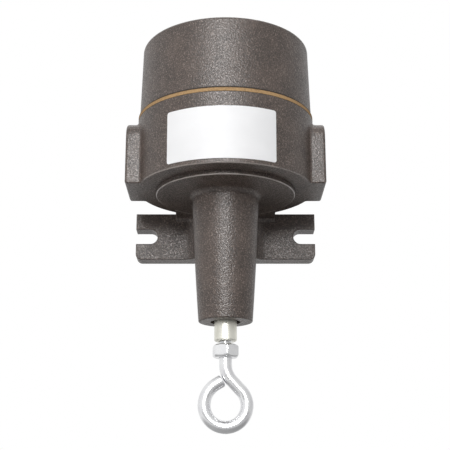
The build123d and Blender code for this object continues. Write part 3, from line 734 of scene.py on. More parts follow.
@dataclass(frozen=True)
class PhotoCamera:
    """The camera, as fitted to measured points of the photograph."""

    distance: float = 525.9 * MM
    height: float = -157.6 * MM
    sideways: float = -0.3 * MM
    pitch: float = 16.19
    focal_length: float = 79.8
    sensor: float = 36.0

    def build(self, axis_y: float) -> None:
        """Add the camera and make it the scene's.

        Args:
            axis_y: Where the housing's upright axis stands along Y.
        """
        data = bpy.data.cameras.new("photo_camera")
        data.lens = self.focal_length
        data.sensor_width = self.sensor
        camera = bpy.data.objects.new("photo_camera", data)
        camera.location = (self.sideways, axis_y - self.distance, self.height)
        camera.rotation_euler = (math.radians(90 + self.pitch), 0.0, 0.0)
        bpy.context.scene.collection.objects.link(camera)
        bpy.context.scene.camera = camera


@dataclass(frozen=True)
class Lamp:
    """One soft box of the studio."""

    name: str
    place: Vector
    width: float
    height: float
    power: float
    mirrored: bool = True

    def build(self, target: Vector) -> None:
        """Add the lamp, turned to a target.

        Args:
            target: The point that it faces.
        """
        data = bpy.data.lights.new(self.name, "AREA")
        data.shape = "RECTANGLE"
        data.size = self.width
        data.size_y = self.height
        data.energy = self.power
        lamp = bpy.data.objects.new(self.name, data)
        lamp.location = self.place
        lamp.rotation_euler = (target - self.place).to_track_quat("-Z", "Y").to_euler()
        lamp.visible_glossy = self.mirrored
        bpy.context.scene.collection.objects.link(lamp)


@dataclass(frozen=True)
class Studio:
    """Pale floor, white surroundings and soft boxes."""

    floor_height: float = -0.75
    floor_half: float = 4.0
    floor_colour: Colour = (0.86, 0.86, 0.85)
    floor_lift: float = 0.62
    fade_start: float = 0.8
    fade_end: float = 3.6
    surround_light: float = 0.10
    sweep_light: float = 0.88
    room_left: float = 0.93
    room_right: float = 0.64
    floor_light: float = 0.48
    gap_low: float = 0.26
    gap_high: float = 0.08
    gap_soft: float = 0.06
    gap_share: float = 0.8
    lamps: tuple[Lamp, ...] = (
        Lamp("key_box", Vector((-0.10, -1.25, 0.66)), 0.50, 0.50, 8.2),
        Lamp("fill_box", Vector((-0.08, -1.45, 0.235)), 0.55, 0.18, 8.6),
        Lamp("left_box", Vector((-1.15, -0.50, -0.30)), 0.5, 0.7, 3.2, mirrored=False),
        Lamp("right_box", Vector((1.15, -0.20, -0.30)), 0.5, 0.7, 1.0, mirrored=False),
        Lamp("top_box", Vector((0.0, 0.45, 1.2)), 0.9, 0.7, 2.6),
    )

    def build(self, target: Vector) -> None:
        """Set the lights, the world, the floor and the view.

        Args:
            target: The point that the lamps face.
        """
        for lamp in self.lamps:
            lamp.build(target)
        self.build_world()
        self.build_floor()
        bpy.context.scene.view_settings.view_transform = "Standard"

    def build_world(self) -> None:
        """Make the surroundings white to the eye, and lit as a white sweep behind a dimmer room.

        Reflections see the white sweep behind and beside the object and the room in front of it.
        """
        world = bpy.data.worlds.new("studio_world")
        bpy.context.scene.world = world
        world.use_nodes = True
        wiring = Wiring(world.node_tree)
        rays = wiring.add("ShaderNodeLightPath")
        towards = wiring.add("ShaderNodeTexCoord").outputs["Generated"]
        way = wiring.add("ShaderNodeSeparateXYZ", Vector=towards)
        mirrored = wiring.math("MAXIMUM", rays.outputs["Is Glossy Ray"], rays.outputs["Is Transmission Ray"])
        room = wiring.span(way.outputs["X"], -0.6, 0.9, self.room_left, self.room_right)
        leftward = wiring.math("MULTIPLY", way.outputs["X"], -0.5)
        behind = wiring.span(wiring.math("ADD", way.outputs["Y"], leftward), -0.25, 0.55)
        white = wiring.math("SUBTRACT", self.sweep_light, room)
        sweep = wiring.math("ADD", room, wiring.math("MULTIPLY", behind, white))
        below = wiring.span(way.outputs["Z"], -self.gap_low, -self.gap_low + self.gap_soft)
        above = wiring.span(way.outputs["Z"], -self.gap_high, -self.gap_high - self.gap_soft)
        front = wiring.span(way.outputs["Y"], -0.5, -0.7)
        gap = wiring.math("MULTIPLY", wiring.math("MULTIPLY", below, above), front)
        gap = wiring.math("MULTIPLY", gap, self.gap_share)
        sweep = wiring.math("MULTIPLY", sweep, wiring.math("SUBTRACT", 1.0, gap))
        floor = wiring.span(way.outputs["Z"], -0.60, -0.30, self.floor_light, 1.0)
        sweep = wiring.math("MULTIPLY", sweep, floor)
        lit = wiring.math("MULTIPLY", mirrored, wiring.math("SUBTRACT", sweep, self.surround_light))
        strength = wiring.math("ADD", lit, self.surround_light)
        strength = wiring.math("MAXIMUM", strength, rays.outputs["Is Camera Ray"])
        wiring.put(strength, world.node_tree.nodes["Background"].inputs["Strength"])
        world.node_tree.nodes["Background"].inputs["Color"].default_value = colour((1.0, 1.0, 1.0))

    def build_floor(self) -> None:
        """Add the floor, with a faint paper tooth."""
        mesh = bmesh.new()
        bmesh.ops.create_grid(mesh, x_segments=8, y_segments=8, size=self.floor_half)
        floor = add_piece("studio_floor", mesh)
        floor.location = (0.0, 0.0, self.floor_height)
        material = bpy.data.materials.new("studio_floor")
        material.use_nodes = True
        wiring = Wiring(material.node_tree)
        shader = material.node_tree.nodes["Principled BSDF"]
        place = wiring.add("ShaderNodeTexCoord").outputs["Object"]
        tooth = wiring.span(wiring.noise(place, 0.02, 3.0), 0.3, 0.7)
        pale = colour(self.floor_colour)
        wiring.put(wiring.blend(tooth, pale, colour((0.88, 0.88, 0.87))), shader.inputs["Base Color"])
        shader.inputs["Roughness"].default_value = 0.9
        seen = wiring.add("ShaderNodeLightPath").outputs["Is Camera Ray"]
        away = wiring.add("ShaderNodeVectorMath", {"operation": "LENGTH"}, Vector=place).outputs["Value"]
        fade = wiring.span(away, self.fade_start, self.fade_end, self.floor_lift, 1.0)
        lift = wiring.math("MULTIPLY", seen, fade)
        glow = wiring.add("ShaderNodeEmission", Color=colour((1.0, 1.0, 1.0)), Strength=lift)
        both = wiring.add("ShaderNodeAddShader")
        wiring.put(shader.outputs["BSDF"], both.inputs[0])
        wiring.put(glow.outputs["Emission"], both.inputs[1])
        wiring.put(both.outputs["Shader"], material.node_tree.nodes["Material Output"].inputs["Surface"])
        floor.data.materials.append(material)
        floor.visible_glossy = False


def add_piece(name: str, mesh: bmesh.types.BMesh) -> bpy.types.Object:
    """Turn a bmesh into a smooth-shaded object of the scene.

    Args:
        name: The piece's name.
        mesh: The mesh, which is freed.

    Returns:
        The new object.
    """
    bmesh.ops.recalc_face_normals(mesh, faces=mesh.faces)
    for face in mesh.faces:
        face.smooth = True
    data = bpy.data.meshes.new(name)
    mesh.to_mesh(data)
    mesh.free()
    piece = bpy.data.objects.new(name, data)
    bpy.context.scene.collection.objects.link(piece)
    return piece


def sharpen(piece: bpy.types.Object, angle: float = 30.0) -> None:
    """Mark edges that turn by more than an angle in degrees as sharp."""
    mesh = bmesh.new()
    mesh.from_mesh(piece.data)
    limit = math.radians(angle)
    for edge in mesh.edges:
        edge.smooth = len(edge.link_faces) == 2 and edge.calc_face_angle() < limit
    mesh.to_mesh(piece.data)
    mesh.free()


def join_rings(
    mesh: bmesh.types.BMesh, rings: list[list[bmesh.types.BMVert]], around: bool = True
) -> None:
    """Skin neighbouring rings of points with quads.

    Args:
        mesh: The mesh that holds the points.
        rings: Rings of equal length.
        around: Whether each ring closes on itself.
    """
    count = len(rings[0])
    for lower, upper in zip(rings, rings[1:]):
        for index in range(count if around else count - 1):
            after = (index + 1) % count
            mesh.faces.new((lower[index], lower[after], upper[after], upper[index]))


def lathe(profile: Profile, axis_y: float, steps: int, closed: bool = False) -> bmesh.types.BMesh:
    """Turn a profile about the housing's axis.

    Args:
        profile: Points as radius and height. A radius of 0 is a pole.
        axis_y: Where the axis stands along Y.
        steps: Segments round the axis.
        closed: Whether the last point joins the first, as in a ring.

    Returns:
        The turned mesh.
    """
    mesh = bmesh.new()
    rings = []
    for radius, height in profile:
        if radius == 0.0:
            rings.append([mesh.verts.new((0.0, axis_y, height))] * steps)
            continue
        angles = [2 * math.pi * step / steps for step in range(steps)]
        rings.append(
            [
                mesh.verts.new((radius * math.cos(a), axis_y + radius * math.sin(a), height))
                for a in angles
            ]
        )
    pairs = list(zip(rings, rings[1:]))
    if closed:
        pairs.append((rings[-1], rings[0]))
    for lower, upper in pairs:
        for index in range(steps):
            after = (index + 1) % steps
            corners = list(dict.fromkeys((lower[index], lower[after], upper[after], upper[index])))
            mesh.faces.new(corners)
    return mesh


def tube(points: list[Vector], radii: list[float], sides: int) -> bmesh.types.BMesh:
    """Sweep a round section along a line of points, with flat ends.

    Args:
        points: The centreline.
        radii: Radius at each point.
        sides: Sides of the section.

    Returns:
        The tube's mesh.
    """
    mesh = bmesh.new()
    rings = []
    ahead = (points[1] - points[0]).normalized()
    across = ahead.orthogonal().normalized()
    for index, (point, radius) in enumerate(zip(points, radii)):
        before = points[max(index - 1, 0)]
        after = points[min(index + 1, len(points) - 1)]
        turned = (after - before).normalized()
        across = (ahead.rotation_difference(turned) @ across).normalized()
        ahead = turned
        up = ahead.cross(across)
        ring = []
        for side in range(sides):
            angle = 2 * math.pi * side / sides
            ring.append(mesh.verts.new(point + radius * (math.cos(angle) * across + math.sin(angle) * up)))
        rings.append(ring)
    join_rings(mesh, rings)
    mesh.faces.new(list(reversed(rings[0])))
    mesh.faces.new(rings[-1])
    return mesh


def arc_points(centre: Vector, radius: float, start: float, end: float, steps: int) -> list[Vector]:
    """List points of an arc in the upright plane that faces the viewer.

    Args:
        centre: The arc's centre.
        radius: The arc's radius.
        start: First angle in degrees, from +X towards +Z.
        end: Last angle in degrees.
        steps: Number of steps between the two.

    Returns:
        The points, both ends included.
    """
    points = []
    for step in range(steps + 1):
        angle = math.radians(start + (end - start) * step / steps)
        points.append(centre + radius * Vector((math.cos(angle), 0.0, math.sin(angle))))
    return points


def settle(piece: bpy.types.Object, body: Body, *nodes: str) -> None:
    """Make a piece ride on a body and stand for CAD nodes.

    Args:
        piece: The piece.
        body: The body that carries it.
        nodes: The nodes that it stands for.
    """
    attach(piece, body.value)
    if nodes:
        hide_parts(*nodes)
    log.info("built %s on %s", piece.name, body.value)


@dataclass(frozen=True)
class Thread:
    """A screw thread, as the radius of a wavy cylinder."""

    crest: float
    root: float
    pitch: float

    def radius(self, angle: float, height: float) -> float:
        """Give the thread's radius.

        Args:
            angle: Angle round the axis in radians.
            height: Height along the axis.

        Returns:
            A radius between root and crest.
        """
        phase = (height / self.pitch - angle / (2 * math.pi)) % 1.0
        share = min(max((abs(2 * phase - 1) - 0.12) / 0.76, 0.0), 1.0)
        return self.root + (self.crest - self.root) * share

    def mesh(self, foot: Vector, length: float, wall: Wall, back: float, columns: int) -> bmesh.types.BMesh:
        """Build the thread standing on a point, as a closed sleeve or rod.

        Args:
            foot: The axis point at the thread's lower end.
            length: Length of the thread.
            wall: Whether it is cut on the outside of a rod or the inside of a hole.
            back: Radius of the sleeve's hidden side, or of the rod's chamfered ends.
            columns: Segments round the axis.

        Returns:
            The mesh.
        """
        mesh = bmesh.new()
        rows = max(2, round(8 * length / self.pitch))
        rings = []
        for row in range(rows + 1):
            height = length * row / rows
            faded = min(1.0, height / self.pitch, (length - height) / self.pitch)
            ring = []
            for column in range(columns):
                angle = 2 * math.pi * column / columns
                radius = self.root + (self.radius(angle, height) - self.root) * faded
                offset = Vector((radius * math.cos(angle), radius * math.sin(angle), height))
                ring.append(mesh.verts.new(foot + offset))
            rings.append(ring)
        for height in (length, 0.0):
            ring = []
            for column in range(columns):
                angle = 2 * math.pi * column / columns
                offset = Vector((back * math.cos(angle), back * math.sin(angle), height))
                ring.append(mesh.verts.new(foot + offset))
            rings.append(ring)
        if wall is Wall.INSIDE:
            join_rings(mesh, rings + [rings[0]])
        else:
            join_rings(mesh, rings[:-1])
            join_rings(mesh, [rings[-1], rings[0]])
            mesh.faces.new(rings[-2])
            mesh.faces.new(list(reversed(rings[-1])))
        return mesh


def merge(parts: list[bmesh.types.BMesh]) -> bmesh.types.BMesh:
    """Put several meshes into one and free them.

    Args:
        parts: The meshes.

    Returns:
        One mesh with all their shells.
    """
    whole = bmesh.new()
    for part in parts:
        bmesh.ops.recalc_face_normals(part, faces=part.faces)
        data = bpy.data.meshes.new("part")
        part.to_mesh(data)
        part.free()
        whole.from_mesh(data)
        bpy.data.meshes.remove(data)
    return whole


@dataclass(frozen=True)
class EyeBolt:
    """Eye bolt bent from wire: shank with a rolled thread, bend, lean, eye and closing end."""

    axis_y: float
    shank_top: float = -53.3 * MM
    thread_bottom: float = -79.15 * MM
    eye_centre: float = -102.9995 * MM
    wire_radius: float = 3.38 * MM
    eye_radius: float = 11.2 * MM
    lean: float = 43.0
    bend_radius: float = 12.0 * MM
    closing_radius: float = 13.0 * MM
    end_angle: float = 120.0
    end_gap: float = 0.4 * MM
    end_chamfer: float = 0.7 * MM
    thread: Thread = Thread(3.5 * MM, 3.02 * MM, 1.41 * MM)
    sides: int = 64

    def bend_height(self) -> float:
        """Height above the eye's centre at which the bend begins."""
        lean = math.radians(self.lean)
        return self.eye_radius / math.sin(lean) + self.bend_radius * math.tan(lean / 2)

    def centreline(self) -> list[Vector]:
        """List the wire's centreline from the thread down to its cut end.

        Returns:
            The points.
        """
        eye = Vector((0.0, self.axis_y, self.eye_centre))
        bend = eye + Vector((self.bend_radius, 0.0, self.bend_height()))
        closing = eye + Vector((self.closing_radius - self.eye_radius, 0.0, 0.0))
        shank_end = bend - Vector((self.bend_radius, 0.0, 0.0))
        top = Vector((0.0, self.axis_y, self.thread_bottom + self.thread.pitch))
        points = [top.lerp(shank_end, step / 8) for step in range(8)]
        points += arc_points(bend, self.bend_radius, 180.0, 180.0 + self.lean, 24)
        eye_start = arc_points(eye, self.eye_radius, self.lean, -180.0, 120)
        points += [points[-1].lerp(eye_start[0], step / 8) for step in range(1, 8)]
        points += eye_start
        points += arc_points(closing, self.closing_radius, 180.0, self.end_angle, 40)[1:]
        ahead = Vector((math.sin(math.radians(self.end_angle)), 0, -math.cos(math.radians(self.end_angle))))
        to_bend = bend - points[-1]
        along = to_bend.dot(ahead)
        past = to_bend.length_squared - along**2
        reach = self.bend_radius + self.wire_radius + self.end_gap
        run = along - math.sqrt(reach**2 - past)
        start = points[-1]
        points += [start + ahead * (run - self.end_chamfer) * step / 6 for step in range(1, 7)]
        for share in (0.4, 0.75, 1.0):
            points.append(start + ahead * (run - self.end_chamfer * (1 - share)))
        return points

    def build(self, paints: Paintbox) -> bpy.types.Object:
        """Build the bolt and settle it on the rod.

        Args:
            paints: The finishes.

        Returns:
            The piece.
        """
        points = self.centreline()
        radii = [self.wire_radius] * (len(points) - 3)
        radii += [self.wire_radius - self.end_chamfer * cut for cut in (0.12, 0.4, 1.0)]
        wire = tube(points, radii, self.sides)
        foot = Vector((0.0, self.axis_y, self.thread_bottom))
        length = self.shank_top - self.thread_bottom
        thread = self.thread.mesh(foot, length, Wall.OUTSIDE, self.thread.root, self.sides)
        piece = add_piece("bent_eye_bolt", merge([wire, thread]))
        sharpen(piece, 50.0)
        paints.dress(piece, Slot.ZINC)
        settle(piece, Body.ROD, "eye_bolt")
        return piece


@dataclass(frozen=True)
class HexNut:
    """Hexagon nut with soft corners, cone-cut faces and a countersunk thread."""

    name: str
    node: str
    slot: Slot
    body: Body
    axis_y: float
    bottom: float
    height: float
    across_flats: float
    bore: float
    turn: float
    corner_softness: float = 0.45 * MM
    face_softness: float = 0.35 * MM
    face_share: float = 0.93
    cone: float = 0.62
    columns: int = 180
    rows: int = 28

    def radius(self, angle: float, height: float) -> float:
        """Give the nut's outer radius.

        Args:
            angle: Angle round the axis in radians.
            height: Height above the nut's lower face.

        Returns:
            The radius, softened where flats meet each other and the cones.
        """
        half = self.across_flats / 2
        from_flat = (angle - math.radians(self.turn) + math.pi / 6) % (math.pi / 3) - math.pi / 6
        corner = half / math.cos(math.pi / 6)
        flat = half / math.cos(from_flat)
        soft = self.corner_softness
        flat -= soft * 0.35 * math.exp(-((corner - flat) / (0.35 * soft)))
        from_face = min(height, self.height - height)
        cone = half * self.face_share + from_face / math.tan(math.atan(self.cone))
        share = self.face_softness
        return -share * math.log(math.exp(-flat / share) + math.exp(-cone / share))

    def build(self, paints: Paintbox) -> bpy.types.Object:
        """Build the nut and settle it on its body.

        Args:
            paints: The finishes.

        Returns:
            The piece.
        """
        mesh = bmesh.new()
        rings = []
        for row in range(self.rows + 1):
            share = (1 - math.cos(math.pi * row / self.rows)) / 2
            rings.append(self.ring(mesh, share * self.height, None))
        sink = self.bore * 1.12
        for radius, height in (
            (sink, self.height),
            (self.bore, self.height - 0.4 * MM),
            (self.bore, 0.4 * MM),
            (sink, 0.0),
        ):
            rings.append(self.ring(mesh, height, radius))
        join_rings(mesh, rings + [rings[0]])
        piece = add_piece(self.name, mesh)
        sharpen(piece, 40.0)
        paints.dress(piece, self.slot)
        settle(piece, self.body, self.node)
        return piece

    def ring(self, mesh: bmesh.types.BMesh, height: float, radius: float | None) -> list[bmesh.types.BMVert]:
        """Add one ring of the nut.

        Args:
            mesh: The mesh that takes the points.
            height: Height above the nut's lower face.
            radius: The ring's radius, or None for the outer shape.

        Returns:
            The ring's points.
        """
        points = []
        for column in range(self.columns):
            angle = 2 * math.pi * column / self.columns
            reach = self.radius(angle, height) if radius is None else radius
            place = (reach * math.cos(angle), self.axis_y + reach * math.sin(angle), self.bottom + height)
            points.append(mesh.verts.new(place))
        return points


@dataclass(frozen=True)
class CoilSpring:
    """Compression spring with closed, ground ends."""

    name: str
    node: str
    body: Body
    joint: str
    axis_y: float
    coil_radius: float
    wire_radius: float
    open_coils: float
    bottom: float
    top: float
    anchor: float
    keep: float
    closed_turns: float = 1.0
    opening_turns: float = 0.5
    steps_per_turn: int = 40
    sides: int = 16

    def centreline(self) -> list[Vector]:
        """List the wire's centreline.

        Returns:
            The points, from the lower end to the upper.
        """
        turns = self.open_coils + 2 * self.closed_turns
        steps = round(turns * self.steps_per_turn)
        openness = []
        for step in range(steps + 1):
            from_end = min(step, steps - step) / self.steps_per_turn
            openness.append(min(max((from_end - self.closed_turns) / self.opening_turns, 0.0), 1.0))
        closed_rise = 2 * self.wire_radius / self.steps_per_turn
        open_rise = (self.top - self.bottom - steps * closed_rise) / sum(openness)
        points = []
        height = self.bottom
        for step in range(steps + 1):
            angle = 2 * math.pi * step / self.steps_per_turn
            across = self.coil_radius * Vector((math.cos(angle), math.sin(angle), 0.0))
            points.append(Vector((0.0, self.axis_y, height)) + across)
            height += closed_rise + open_rise * openness[step]
        return points

    def build(self, paints: Paintbox) -> bpy.types.Object:
        """Build the spring and grind its ends.

        Args:
            paints: The finishes.

        Returns:
            The piece.
        """
        points = self.centreline()
        mesh = tube(points, [self.wire_radius] * len(points), self.sides)
        for vertex in mesh.verts:
            vertex.co.z = min(max(vertex.co.z, self.bottom), self.top)
        piece = add_piece(self.name, mesh)
        paints.dress(piece, Slot.SPRING)
        settle(piece, self.body, self.node)
        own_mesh(piece)
        return piece


@dataclass(frozen=True)
class SlottedScrews:
    """Slotted machine screws of one size, each with a crowned head and a cut thread."""

    name: str
    node: str
    slot: Slot
    seats: tuple[Vector, ...]
    head_radius: float
    head_height: float
    shank_radius: float
    shank_length: float
    thread_length: float
    pitch: float
    slot_width: float = 1.2 * MM
    slot_depth: float = 1.2 * MM
    crown: float = 0.25
    first_turn: float = 20.0
    turn_step: float = 67.0
    columns: int = 48

    def head(self, seat: Vector) -> bmesh.types.BMesh:
        """Build one crowned head, with its slot left open.

        Args:
            seat: The axis point at the head's lower face.

        Returns:
            The mesh.
        """
        rise = self.crown * self.head_height
        edge = 0.12 * self.head_height
        profile = [(self.head_radius - edge, 0.0), (self.head_radius, edge)]
        wall_top = self.head_height - rise
        profile.append((self.head_radius, wall_top))
        for step in range(1, 7):
            share = step / 7
            radius = self.head_radius * math.cos(math.pi / 2 * share)
            profile.append((max(radius, 0.3 * MM), wall_top + rise * math.sin(math.pi / 2 * share)))
        mesh = bmesh.new()
        rings = []
        floor = self.head_height - self.slot_depth
        for radius, height in profile:
            ring = []
            for column in range(self.columns):
                angle = 2 * math.pi * column / self.columns
                place = Vector((radius * math.cos(angle), radius * math.sin(angle), height))
                ring.append(mesh.verts.new(seat + place))
            rings.append(ring)
        join_rings(mesh, rings)
        mesh.faces.new(list(reversed(rings[0])))
        mesh.faces.new(rings[-1])
        self.cut_slot(mesh, seat, floor)
        return mesh

    def cut_slot(self, mesh: bmesh.types.BMesh, seat: Vector, floor: float) -> None:
        """Cut a head's slot by splitting it at the slot's walls and sinking what lies between.

        Args:
            mesh: The head.
            seat: The head's seat.
            floor: Height of the slot's floor above the seat.
        """
        half = self.slot_width / 2
        for side in (-1, 1):
            for shift in (0.0, 0.02 * MM):
                bmesh.ops.bisect_plane(
                    mesh,
                    geom=mesh.verts[:] + mesh.edges[:] + mesh.faces[:],
                    plane_co=seat + Vector((0.0, side * (half + shift), 0.0)),
                    plane_no=Vector((0.0, 1.0, 0.0)),
                )
        for vertex in mesh.verts:
            local = vertex.co - seat
            if abs(local.y) < half + 0.01 * MM and local.z > floor:
                vertex.co.z = seat.z + floor

    def build(self, paints: Paintbox) -> bpy.types.Object:
        """Build all the screws as one piece and settle it on the housing.

        Args:
            paints: The finishes.

        Returns:
            The piece.
        """
        parts = []
        plain = self.shank_length - self.thread_length
        thread = Thread(self.shank_radius, 0.84 * self.shank_radius, self.pitch)
        for index, seat in enumerate(self.seats):
            head = self.head(seat)
            turn = Matrix.Rotation(math.radians(self.first_turn + index * self.turn_step), 3, "Z")
            bmesh.ops.rotate(head, cent=seat, matrix=turn, verts=head.verts)
            parts.append(head)
            foot = seat - Vector((0.0, 0.0, self.shank_length))
            tip = 0.7 * self.shank_radius
            parts.append(thread.mesh(foot, self.thread_length, Wall.OUTSIDE, tip, 24))
            if plain > 0:
                line = [seat - Vector((0.0, 0.0, plain + self.pitch)), seat + Vector((0.0, 0.0, 0.1 * MM))]
                parts.append(tube(line, [0.97 * self.shank_radius] * 2, 24))
        piece = add_piece(self.name, merge(parts))
        sharpen(piece, 35.0)
        paints.dress(piece, self.slot)
        settle(piece, Body.HOUSING, self.node)
        return piece


@dataclass(frozen=True)
class ConduitThreads:
    """Pipe thread ridges inside the two conduit entries."""

    axis_y: float
    height: float = 32.8 * MM
    mouth: float = 53.5 * MM
    length: float = 12.4 * MM
    wall_radius: float = 12.2 * MM
    ridge: float = 0.55 * MM
    pitch: float = 1.814 * MM

    def build(self, paints: Paintbox) -> list[bpy.types.Object]:
        """Build both threads and settle them on the housing.

        Args:
            paints: The finishes.

        Returns:
            The two pieces.
        """
        thread = Thread(self.wall_radius - self.ridge, self.wall_radius + 0.02 * MM, self.pitch)
        pieces = []
        for side, name in ((1, "conduit_thread_right"), (-1, "conduit_thread_left")):
            mesh = thread.mesh(
                Vector((0.0, 0.0, 0.0)), self.length, Wall.INSIDE, self.wall_radius + 0.15 * MM, 96
            )
            turn = Matrix.Rotation(math.radians(90.0 * side), 4, "Y")
            inner = Vector((side * (self.mouth - self.length), self.axis_y, self.height))
            bmesh.ops.transform(mesh, matrix=Matrix.Translation(inner) @ turn, verts=mesh.verts)
            piece = add_piece(name, mesh)
            paints.dress(piece, Slot.CASTING)
            settle(piece, Body.HOUSING)
            pieces.append(piece)
        return pieces


@dataclass(frozen=True)
class RodWiper:
    """Rubber ring round the rod, with a thin lip that turns down to the rod."""

    axis_y: float
    bottom: float = -57.8 * MM
    top: float = -55.0 * MM
    outer: float = 8.17 * MM
    inner: float = 6.05 * MM
    steps: int = 96

    def build(self, paints: Paintbox) -> bpy.types.Object:
        """Build the wiper and settle it on the housing.

        Args:
            paints: The finishes.

        Returns:
            The piece.
        """
        soft = 0.25 * MM
        profile = [
            (self.outer - soft, self.bottom + 0.5 * MM),
            (self.outer, self.bottom + 0.5 * MM + soft),
            (self.outer, self.top - soft),
            (self.outer - soft, self.top),
            (self.inner + soft, self.top),
            (self.inner, self.top - soft),
            (self.inner, self.bottom + 0.1 * MM),
            (self.inner + 0.1 * MM, self.bottom),
            (self.inner + 0.45 * MM, self.bottom),
            (self.inner + 0.7 * MM, self.bottom + 0.15 * MM),
            (self.inner + 0.85 * MM, self.bottom + 0.9 * MM),
            (self.outer - 0.7 * MM, self.bottom + 0.9 * MM),
            (self.outer - 0.55 * MM, self.bottom + 0.5 * MM),
        ]
        piece = add_piece("lipped_wiper", lathe(profile, self.axis_y, self.steps, closed=True))
        sharpen(piece, 50.0)
        paints.dress(piece, Slot.RUBBER)
        settle(piece, Body.HOUSING, "rod_wiper")
        return piece


@dataclass(frozen=True)
class ShelfFillets:
    """Cast fillets in the corners under the bracket's shelf, along the foot and the web."""

    axis_y: float
    under: float = 11.3 * MM
    foot_front: float = -10.7 * MM
    shelf_half: float = 29.0 * MM
    web_half: float = 17.0 * MM
    web_corner: float = 6.5 * MM
    reach: float = 2.4 * MM
    web_end: float = -36.0 * MM
    sunk: float = 0.3 * MM

    def path(self, side: int) -> list[tuple[Vector, Vector]]:
        """List places along the corner with the way that faces away from the wall.

        Args:
            side: 1 for the right, -1 for the left.

        Returns:
            Pairs of a place and a unit vector.
        """
        corner_x = self.web_half + self.web_corner
        corner_y = self.foot_front - self.web_corner
        places = []
        for step in range(5):
            x = self.shelf_half + (corner_x - self.shelf_half) * step / 4
            places.append((Vector((side * x, self.foot_front, 0.0)), Vector((0.0, -1.0, 0.0))))
        for step in range(1, 17):
            angle = math.pi / 2 * step / 16
            out = Vector((side * math.sin(angle), -math.cos(angle), 0.0))
            centre = Vector((side * corner_x, corner_y, 0.0))
            places.append((centre - self.web_corner * out, out))
        for step in range(1, 9):
            y = corner_y + (self.web_end - corner_y) * step / 8
            places.append((Vector((side * self.web_half, y, 0.0)), Vector((side, 0.0, 0.0))))
        return places

    def build(self, paints: Paintbox) -> bpy.types.Object:
        """Build the fillets and settle them on the housing.

        Args:
            paints: The finishes.

        Returns:
            The piece.
        """
        parts = []
        for side in (1, -1):
            mesh = bmesh.new()
            rings = []
            for place, out in self.path(side):
                section = [(-self.sunk, self.under - self.reach)]
                for step in range(9):
                    angle = math.pi / 2 * step / 8
                    away = self.reach * (1 - math.cos(angle))
                    section.append((away, self.under - self.reach + self.reach * math.sin(angle)))
                section += [(self.reach, self.under + self.sunk), (-self.sunk, self.under + self.sunk)]
                ring = []
                for away, height in section:
                    point = place + out * away
                    ring.append(mesh.verts.new((point.x, point.y, height)))
                rings.append(ring)
            join_rings(mesh, rings)
            mesh.faces.new(list(reversed(rings[0])))
            mesh.faces.new(rings[-1])
            parts.append(mesh)
        piece = add_piece("shelf_fillets", merge(parts))
        sharpen(piece, 40.0)
        paints.dress(piece, Slot.CASTING)
        settle(piece, Body.HOUSING)
        return piece


class PullMechanism:
    """What moves with the rope: eye bolt, nuts and the two springs."""

    def __init__(self, axis_y: float) -> None:
        """Set the pieces' sizes.

        Args:
            axis_y: Where the housing's upright axis stands along Y.
        """
        self.eye_bolt = EyeBolt(axis_y)
        self.jam_nut = HexNut(
            "soft_jam_nut",
            "jam_nut",
            Slot.ZINC,
            Body.ROD,
            axis_y,
            bottom=-77.95 * MM,
            height=6.75 * MM,
            across_flats=13.0 * MM,
            bore=3.52 * MM,
            turn=9.0 - 90.0 + 30.0,
        )
        self.return_spring = CoilSpring(
            "wound_return_spring",
            "return_spring",
            Body.HOUSING,
            "rope_pull",
            axis_y,
            coil_radius=9.3 * MM,
            wire_radius=1.0 * MM,
            open_coils=5,
            bottom=-36.45 * MM,
            top=8.35 * MM,
            anchor=-36.5 * MM,
            keep=0.82,
        )
        self.contact_spring = CoilSpring(
            "wound_contact_spring",
            "contact_spring",
            Body.ROD,
            "contact_overtravel",
            axis_y,
            coil_radius=7.1 * MM,
            wire_radius=0.5 * MM,
            open_coils=3,
            bottom=67.2 * MM,
            top=77.5 * MM,
            anchor=77.55 * MM,
            keep=0.855,
        )

    def build(self, paints: Paintbox) -> None:
        """Build every piece.

        Args:
            paints: The finishes.
        """
        for part in (self.eye_bolt, self.jam_nut, self.return_spring, self.contact_spring):
            part.build(paints)


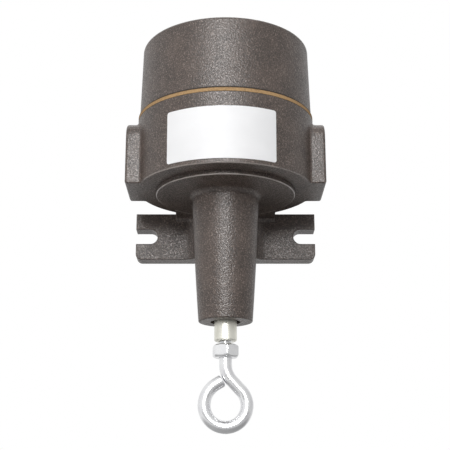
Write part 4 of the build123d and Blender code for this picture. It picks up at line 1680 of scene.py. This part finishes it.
def ring_of_seats(axis_y: float, radius: float, height: float, angles: tuple[float, ...]) -> tuple[Vector, ...]:
    """List screw seats round the housing's axis.

    Args:
        axis_y: Where the axis stands along Y.
        radius: Radius of the ring.
        height: The seats' height.
        angles: Angles in degrees from +X.

    Returns:
        The seats.
    """
    seats = []
    for angle in angles:
        turn = math.radians(angle)
        seats.append(Vector((radius * math.cos(turn), axis_y + radius * math.sin(turn), height)))
    return tuple(seats)


class HousingDetails:
    """Screws, threads, wiper and cast fillets of the housing."""

    def __init__(self, axis_y: float) -> None:
        """Set the pieces' sizes.

        Args:
            axis_y: Where the housing's upright axis stands along Y.
        """
        self.screws = (
            SlottedScrews(
                "crowned_cover_screws",
                "cover_screws",
                Slot.SCREW,
                ring_of_seats(axis_y, 39.5 * MM, 92.35 * MM, (45.0, 135.0, 225.0, 315.0)),
                head_radius=4.3 * MM,
                head_height=3.8 * MM,
                shank_radius=2.4 * MM,
                shank_length=50.15 * MM,
                thread_length=14.0 * MM,
                pitch=0.8 * MM,
                crown=0.3,
            ),
            SlottedScrews(
                "crowned_flange_screws",
                "flange_screws",
                Slot.SCREW,
                ring_of_seats(axis_y, 30.9 * MM, 20.3 * MM, (65.0, 115.0, 245.0, 295.0)),
                head_radius=4.3 * MM,
                head_height=2.8 * MM,
                shank_radius=2.4 * MM,
                shank_length=7.2 * MM,
                thread_length=6.6 * MM,
                pitch=0.8 * MM,
                crown=0.4,
            ),
        )
        self.threads = ConduitThreads(axis_y)
        self.wiper = RodWiper(axis_y)
        self.fillets = ShelfFillets(axis_y)

    def build(self, paints: Paintbox) -> None:
        """Build every piece.

        Args:
            paints: The finishes.
        """
        for part in (*self.screws, self.threads, self.wiper, self.fillets):
            part.build(paints)


def main() -> None:
    """Build the looks round the frame and report each piece."""
    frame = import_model()
    low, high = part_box("pull_rod")
    axis_y = (low.y + high.y) / 2
    paints = Paintbox()
    paints.dress_frame(frame)
    HousingDetails(axis_y).build(paints)
    PullMechanism(axis_y).build(paints)
    body_low, body_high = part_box("housing_body")
    PhotoCamera().build(axis_y)
    Studio().build(Vector((0.0, axis_y, body_low.z)))


if __name__ == "__main__":
    logging.basicConfig(level=logging.INFO, format="%(name)s: %(message)s")
    main()
